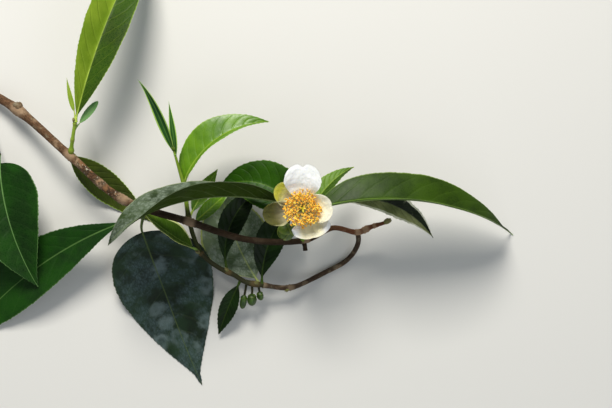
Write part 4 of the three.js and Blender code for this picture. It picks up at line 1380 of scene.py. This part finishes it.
# Calyx
# The flower's short green stalk widens into a waxy green cup. Five rounded sepals grow round the cup
# and hold the petals from below.
CALYX_FOOT = -8.8  # mm, heights on the flower's axis
CALYX_WIDENS = -4.9
CALYX_TOP = -1.7
CALYX_STALK = 0.92  # mm, radii
CALYX_CUP = 2.5
SEPAL_SIZES = dict(
    length=4.9, width=4.6, rise=14, droop=-38, cup=0.45, wave=0.0, fold=0, round_end=0.42, widest=0.72,
)
SEPAL_ROWS = 30
SEPAL_SETTINGS = {
    "Rows": SEPAL_ROWS,
    "Across": 17,
    "Crease": 0.4,
    "Thickness": 0.45 * MM,
    "Pressed": 0.0,
}


def waxy_finish(name, top, deep, edge, rough):
    """A waxy scale or young fruit, with fine pale dots and a paler edge."""
    finish = Finish(name)
    broad = finish.noise(finish.place, 260, 3)
    grain = finish.noise(finish.place, 1600, 3, 0.65)
    colour = finish.blend(broad.step(0.35, 0.65), top, deep)
    colour = finish.blend(grain.step(0.5, 0.75) * 0.3, colour, edge)
    rim = finish.named("across").math("ABSOLUTE").step(0.82, 1.0)
    colour = finish.blend(rim * 0.7, colour, edge)
    return finish.done(colour, rough + grain * 0.15, grain * 0.5 + broad * 0.5, 0.0003)


def made(name, corners, faces, finish):
    """A smooth piece from its corners in metres and its faces."""
    mesh = bpy.data.meshes.new(name)
    mesh.from_pydata(corners, [], faces)
    mesh.shade_smooth()
    mesh.materials.append(finish)
    return shown(name, mesh)


def ring_faces(rings, sides):
    """The faces between rings of corners that follow one another."""
    return [
        (i * sides + j, i * sides + (j + 1) % sides, (i + 1) * sides + (j + 1) % sides, (i + 1) * sides + j)
        for i in range(rings - 1)
        for j in range(sides)
    ]


def turned(name, profile, sides, finish):
    """A round piece from radii and heights on the flower's own axes, closed at both ends."""
    corners = [
        (radius * math.cos(2 * math.pi * j / sides), radius * math.sin(2 * math.pi * j / sides), height)
        for radius, height in profile
        for j in range(sides)
    ]
    foot = tuple(reversed(range(sides)))
    top = tuple(range((len(profile) - 1) * sides, len(profile) * sides))
    faces = [*ring_faces(len(profile), sides), foot, top]
    return made(name, [np.array(corner) * MM for corner in corners], faces, finish)


sepal_finish = waxy_finish("sepals", srgb(104, 142, 56), srgb(78, 116, 42), srgb(160, 176, 104), 0.42)
calyx_heights = np.linspace(CALYX_FOOT, CALYX_TOP, 30)
calyx_widening = np.clip((calyx_heights - CALYX_WIDENS) / (CALYX_TOP - CALYX_WIDENS), 0, 1) ** 1.6
calyx_radii = CALYX_STALK + (CALYX_CUP - CALYX_STALK) * calyx_widening
calyx_profile = [*zip(calyx_radii, calyx_heights), (1.6, CALYX_TOP + 0.25)]
calyx_parts = [turned("calyx_cup", calyx_profile, 28, sepal_finish)]
place_in_flower(calyx_parts[0].data)
for k in range(5):
    heading = 55 + 72 * k
    sepal_foot = towards(heading, 0) * 1.3 + np.array([0, 0, -2.3 + 0.2 * (k % 2)])
    sepal = Blade(sepal_foot, heading=heading, rib_radius=0.1, **SEPAL_SIZES)
    sepal_line = sepal.line(SEPAL_ROWS, placed=in_flower)
    sepal_sizes = sepal.settings(**SEPAL_SETTINGS)
    calyx_parts.append(blades.grow(f"sepal_{k}", sepal_line, sepal_finish, sepal_sizes))
settle(joined("calyx_cup", calyx_parts), "bud", "calyx")


# Round bud and young fruit
# The unopened bud beside the flower is wrapped in waxy scales that overlap. Three young capsules,
# each under the three small sepals that stay on it, hang from the side twig on short stalks.
BUD_CENTRE = (-8.4, -11.6, 31.5)
BUD_RADIUS = 3.7
BUD_STRETCH = 0.95
BUD_SCALES = [  # turn, half width, foot and reach as falls from the stalk, and how proud it lies
    (0.3, 1.35, 0.05, 2.75, 0.0),
    (2.4, 1.35, 0.05, 2.7, 0.01),
    (4.5, 1.3, 0.05, 2.55, 0.025),
    (1.3, 1.2, 0.05, 1.75, 0.045),
    (3.5, 1.15, 0.05, 1.6, 0.055),
    (5.5, 0.9, 0.05, 1.15, 0.07),
]
BUD_CORE = 0.93  # share of its radius that lies under the scales
BUD_SEAT = 0.95  # and at which the round bud's scales lie
SCALE_ROWS = 22
SCALE_ACROSS = 19
SCALE_WALL = 0.16  # mm
BALL_ROWS = 28
BALL_SIDES = 36
CAPSULE_LOBES = 0.09  # share of the radius by which the grooves between the lobes lie deeper
CAPSULE_SEPALS = [(k * 2.1, 1.1, 0.05, 1.0, 0.03 + 0.01 * k) for k in range(3)]
YOUNG_FRUIT = (  # node, station on the twig, centre, radius and stretch
    ("fruit_round", 0.62, (-23.2, -41.2, 9.6), 2.2, 1.15),
    ("fruit_long", 0.95, (-27.0, -42.2, 7.6), 1.6, 2.0),
    ("fruit_small", 0.3, (-19.6, -39.6, 8.4), 1.6, 1.2),
)


def axes_of(direction):
    """Two directions square to the one given."""
    helper = np.array([0.3, 1.0, 0.2])
    one = unit(np.cross(direction, helper))
    return one, np.cross(direction, one)


def ball_patch(name, centre, radius, stretch, axis, patch, finish):
    """A thin scale that hugs a ball: from its foot up to a reach, within a half width about a turn."""
    one, two = axes_of(axis)
    turn, half_width, low, high, proud = patch
    corners = []
    across_values = []
    for s in np.linspace(0, 1, SCALE_ROWS):
        for u in np.linspace(-1, 1, SCALE_ACROSS):
            narrow = (1 - s**3.5) ** 0.5
            around = turn + u * half_width * max(narrow, 0.02)
            fall = low + (high - low) * s
            lip = 1 + proud * (1 - 0.6 * u * u * s) + 0.02 * s**6
            level = math.sin(fall) * radius * lip
            corners.append(
                np.array(centre)
                + one * level * math.cos(around)
                + two * level * math.sin(around)
                - np.array(axis) * math.cos(fall) * radius * stretch * lip
            )
            across_values.append(max(abs(u), s))
    faces = []
    for i in range(SCALE_ROWS - 1):
        for j in range(SCALE_ACROSS - 1):
            a = i * SCALE_ACROSS + j
            faces.append((a, a + SCALE_ACROSS, a + SCALE_ACROSS + 1, a + 1))
    piece = made(name, [in_frame(corner) for corner in corners], faces, finish)
    piece.data.attributes.new("across", "FLOAT", "POINT").data.foreach_set("value", across_values)
    wall = piece.modifiers.new("wall", "SOLIDIFY")
    wall.thickness = SCALE_WALL * MM
    wall.offset = -1
    return plain(piece)


def ball(name, centre, radius, stretch, axis, finish, lobes=0.0):
    """A ball drawn out along its axis, with three soft lobes where it is a capsule."""
    one, two = axes_of(axis)
    corners = []
    for i in range(1, BALL_ROWS):
        fall = math.pi * i / BALL_ROWS
        for j in range(BALL_SIDES):
            around = 2 * math.pi * j / BALL_SIDES
            level = math.sin(fall) * radius * (1 + lobes * (math.cos(3 * around) - 1) * math.sin(fall))
            corners.append(
                np.array(centre)
                + one * level * math.cos(around)
                + two * level * math.sin(around)
                - np.array(axis) * math.cos(fall) * radius * stretch
            )
    faces = ring_faces(BALL_ROWS - 1, BALL_SIDES)
    foot = len(corners)
    last = foot - BALL_SIDES
    corners.append(np.array(centre) - np.array(axis) * radius * stretch)
    corners.append(np.array(centre) + np.array(axis) * radius * stretch)
    for j in range(BALL_SIDES):
        following = (j + 1) % BALL_SIDES
        faces.append((foot, following, j))
        faces.append((foot + 1, last + j, last + following))
    return made(name, [in_frame(corner) for corner in corners], faces, finish)


def hanging_stalk(name, limb, station, centre, radius, finish):
    """The stalk from inside its limb to the middle of what hangs on it."""
    start = limb.at(station)
    end = np.array(centre, float)
    steps = np.linspace(0.02, 1, 14)
    sag = np.array([0, 0, -0.35])
    path = [in_frame(start + (end - start) * s + sag * math.sin(math.pi * s)) for s in steps]
    girth = [radius * (1 + 0.4 * math.exp(-i / 2)) * MM for i in range(len(path))]
    return stems.grow(name, string_of(name, path, girth=girth), finish, SMOOTH_STEM)


bud_finish = waxy_finish("bud scales", srgb(84, 110, 18), srgb(54, 78, 8), srgb(130, 144, 56), 0.34)
fruit_finish = waxy_finish("young fruit", srgb(56, 84, 12), srgb(34, 58, 6), srgb(106, 124, 40), 0.36)


def wrapped_ball(name, centre, radii, stretch, axis, finish, scales, lobes=0.0):
    """A ball and the scales round it, each lying over the one before. Radii of the ball and scales."""
    parts = [ball(name, centre, radii[0], stretch, axis, finish, lobes)]
    for k, scale in enumerate(scales):
        parts.append(ball_patch(f"{name}_scale_{k}", centre, radii[1], stretch, axis, scale, finish))
    return parts


bud_axis = unit(np.array(BUD_CENTRE) - FLOWER_SPUR.at(2.2))
bud_radii = (BUD_RADIUS * BUD_CORE, BUD_RADIUS * BUD_SEAT)
bud_parts = wrapped_ball("bud_body", BUD_CENTRE, bud_radii, BUD_STRETCH, bud_axis, bud_finish, BUD_SCALES)
bud_parts.append(hanging_stalk("bud_stalk", FLOWER_SPUR, 2.2, BUD_CENTRE, 0.7, flower_shoot))
settle(joined("bud_round_scales", bud_parts), "bud", "bud_round")

for name, station, centre, radius, stretch in YOUNG_FRUIT:
    fruit_axis = unit(np.array(centre) - TWIG_RISE.at(station))
    fruit_parts = wrapped_ball(
        f"{name}_capsule", centre, (radius, radius), stretch, fruit_axis, fruit_finish, CAPSULE_SEPALS,
        CAPSULE_LOBES,
    )
    fruit_parts.append(hanging_stalk(f"{name}_stalk", TWIG_RISE, station, centre, 0.5, olive_shoot))
    settle(joined(f"{name}_capsule", fruit_parts), "bud", name)


# Knob, stub and resting buds
# The old branch carries a knob of bark near its cut foot, the broken stub of a twig, and a scaly bud
# at its tip. A small pointed bud rests beside the stalks of many leaves.
KNOB = (0.98, (0.5, 1.2, 0.9), 2.0, 0.95, (0.2, 1, 0.3))  # station, place, radius, stretch, lean
STUB = (5.95, (0.2, -2.2, -0.6), 1.0, 2.2, (0.25, -1, -0.2))
STUB_STEPS = 16
END_BUD = (10, (1.0, 0.7, 0.6), 1.0, 2.0, (1, 0.65, 0.6))
REST_BUD_RADIUS = 0.6
REST_BUD_STRETCH = 1.9
REST_BUD_SCALES = [  # as the scales of the round bud
    (0.2, 1.3, 0.05, 2.7, 0.0),
    (2.3, 1.2, 0.05, 2.3, 0.05),
    (4.4, 1.2, 0.05, 1.8, 0.1),
]
REST_BUDS = (  # limb, station, heading and rise of each resting bud
    (branch, 1.98, 20, 20),
    (branch, 3.3, 250, 40),
    (SHOOT_LEFT, 1.9, 120, 30),
    (SHOOT_TIP, 1.95, 108, 24),
    (TWIG_UPRIGHT, 4.8, 60, 40),
    (TWIG_UPRIGHT, 2.6, 120, 40),
    (TWIG_RISE, 4.9, 190, 50),
    (TWIG_RISE, 2.4, 60, 50),
    (TWIG_RISE, 0.3, 40, 60),
    (FLOWER_SPUR, 2.5, 230, 60),
    (twig_low, 4.0, 250, 40),
)


def roughen(piece, height, size):
    """The surface of a small piece of bark, raised and sunk by a noise."""
    for vertex in piece.data.vertices:
        vertex.co += vertex.normal * (noise.noise(vertex.co / size) * height)


def on_branch(station, place, lean):
    """The place of a growth beside the branch, in mm, and the direction that it leans in."""
    return branch.at(station) + np.array(place), unit(np.array(lean, float))


knob_station, knob_place, knob_radius, knob_stretch, knob_lean = KNOB
knob_centre, knob_axis = on_branch(knob_station, knob_place, knob_lean)
knob_bark = bark(
    "knob bark", (srgb(120, 98, 72), srgb(168, 148, 122), srgb(66, 48, 34), srgb(154, 148, 126)),
    lichen_share=0.8, streaks=0.8, flaking=NOWHERE, shaded=NOWHERE, young=BEYOND,
)
knob = ball("branch_knob", knob_centre, knob_radius, knob_stretch, knob_axis, knob_bark)
roughen(knob, 0.8 * MM, 1.6 * MM)
roughen(knob, 0.25 * MM, 0.5 * MM)
settle(knob, "bark")

stub_station, stub_place, stub_radius, stub_stretch, stub_lean = STUB
stub_middle, stub_axis = on_branch(stub_station, stub_place, stub_lean)
stub_end = stub_middle + stub_axis * stub_radius * stub_stretch
stub_steps = np.linspace(0, 1, STUB_STEPS)
stub_route = [in_frame(branch.at(stub_station) * (1 - s) + stub_end * s) for s in stub_steps]
stub_girth = [stub_radius * (1.15 - 0.4 * s + 0.25 * s**6) * MM for s in stub_steps]
stub_line = string_of("stub line", stub_route, girth=stub_girth, along=100 + 4 * stub_steps)
stub = stems.grow("branch_stub", stub_line, old_bark, {**BARK_SETTINGS, "Seed": 4.0})
roughen(stub, 0.2 * MM, 0.8 * MM)
settle(stub, "bark")

rest_finish = waxy_finish("resting bud", srgb(112, 118, 58), srgb(86, 70, 42), srgb(150, 140, 90), 0.5)


def scaly_bud(name, centre, radius, stretch, axis, finish):
    """A small bud of three scales, each wrapped over the one inside it."""
    radii = (radius * BUD_CORE, radius)
    return joined(name, wrapped_ball(name, centre, radii, stretch, axis, finish, REST_BUD_SCALES))


end_station, end_place, end_radius, end_stretch, end_lean = END_BUD
end_centre, end_axis = on_branch(end_station, end_place, end_lean)
settle(scaly_bud("end_bud", end_centre, end_radius, end_stretch, end_axis, rest_finish), "bud")
rest_buds = []
for k, (limb, station, heading, rise) in enumerate(REST_BUDS):
    rest_axis = unit(towards(heading, rise) + limb.tangent(station) * 0.9)
    rest_centre = limb.at(station) + rest_axis * (limb.radius(station) + REST_BUD_RADIUS * 0.9)
    scales = bud_finish if limb is SHOOT_TIP else rest_finish
    rest_buds.append(
        scaly_bud(f"rest_bud_{k}", rest_centre, REST_BUD_RADIUS, REST_BUD_STRETCH, rest_axis, scales)
    )
settle(joined("rest_buds", rest_buds), "bud")
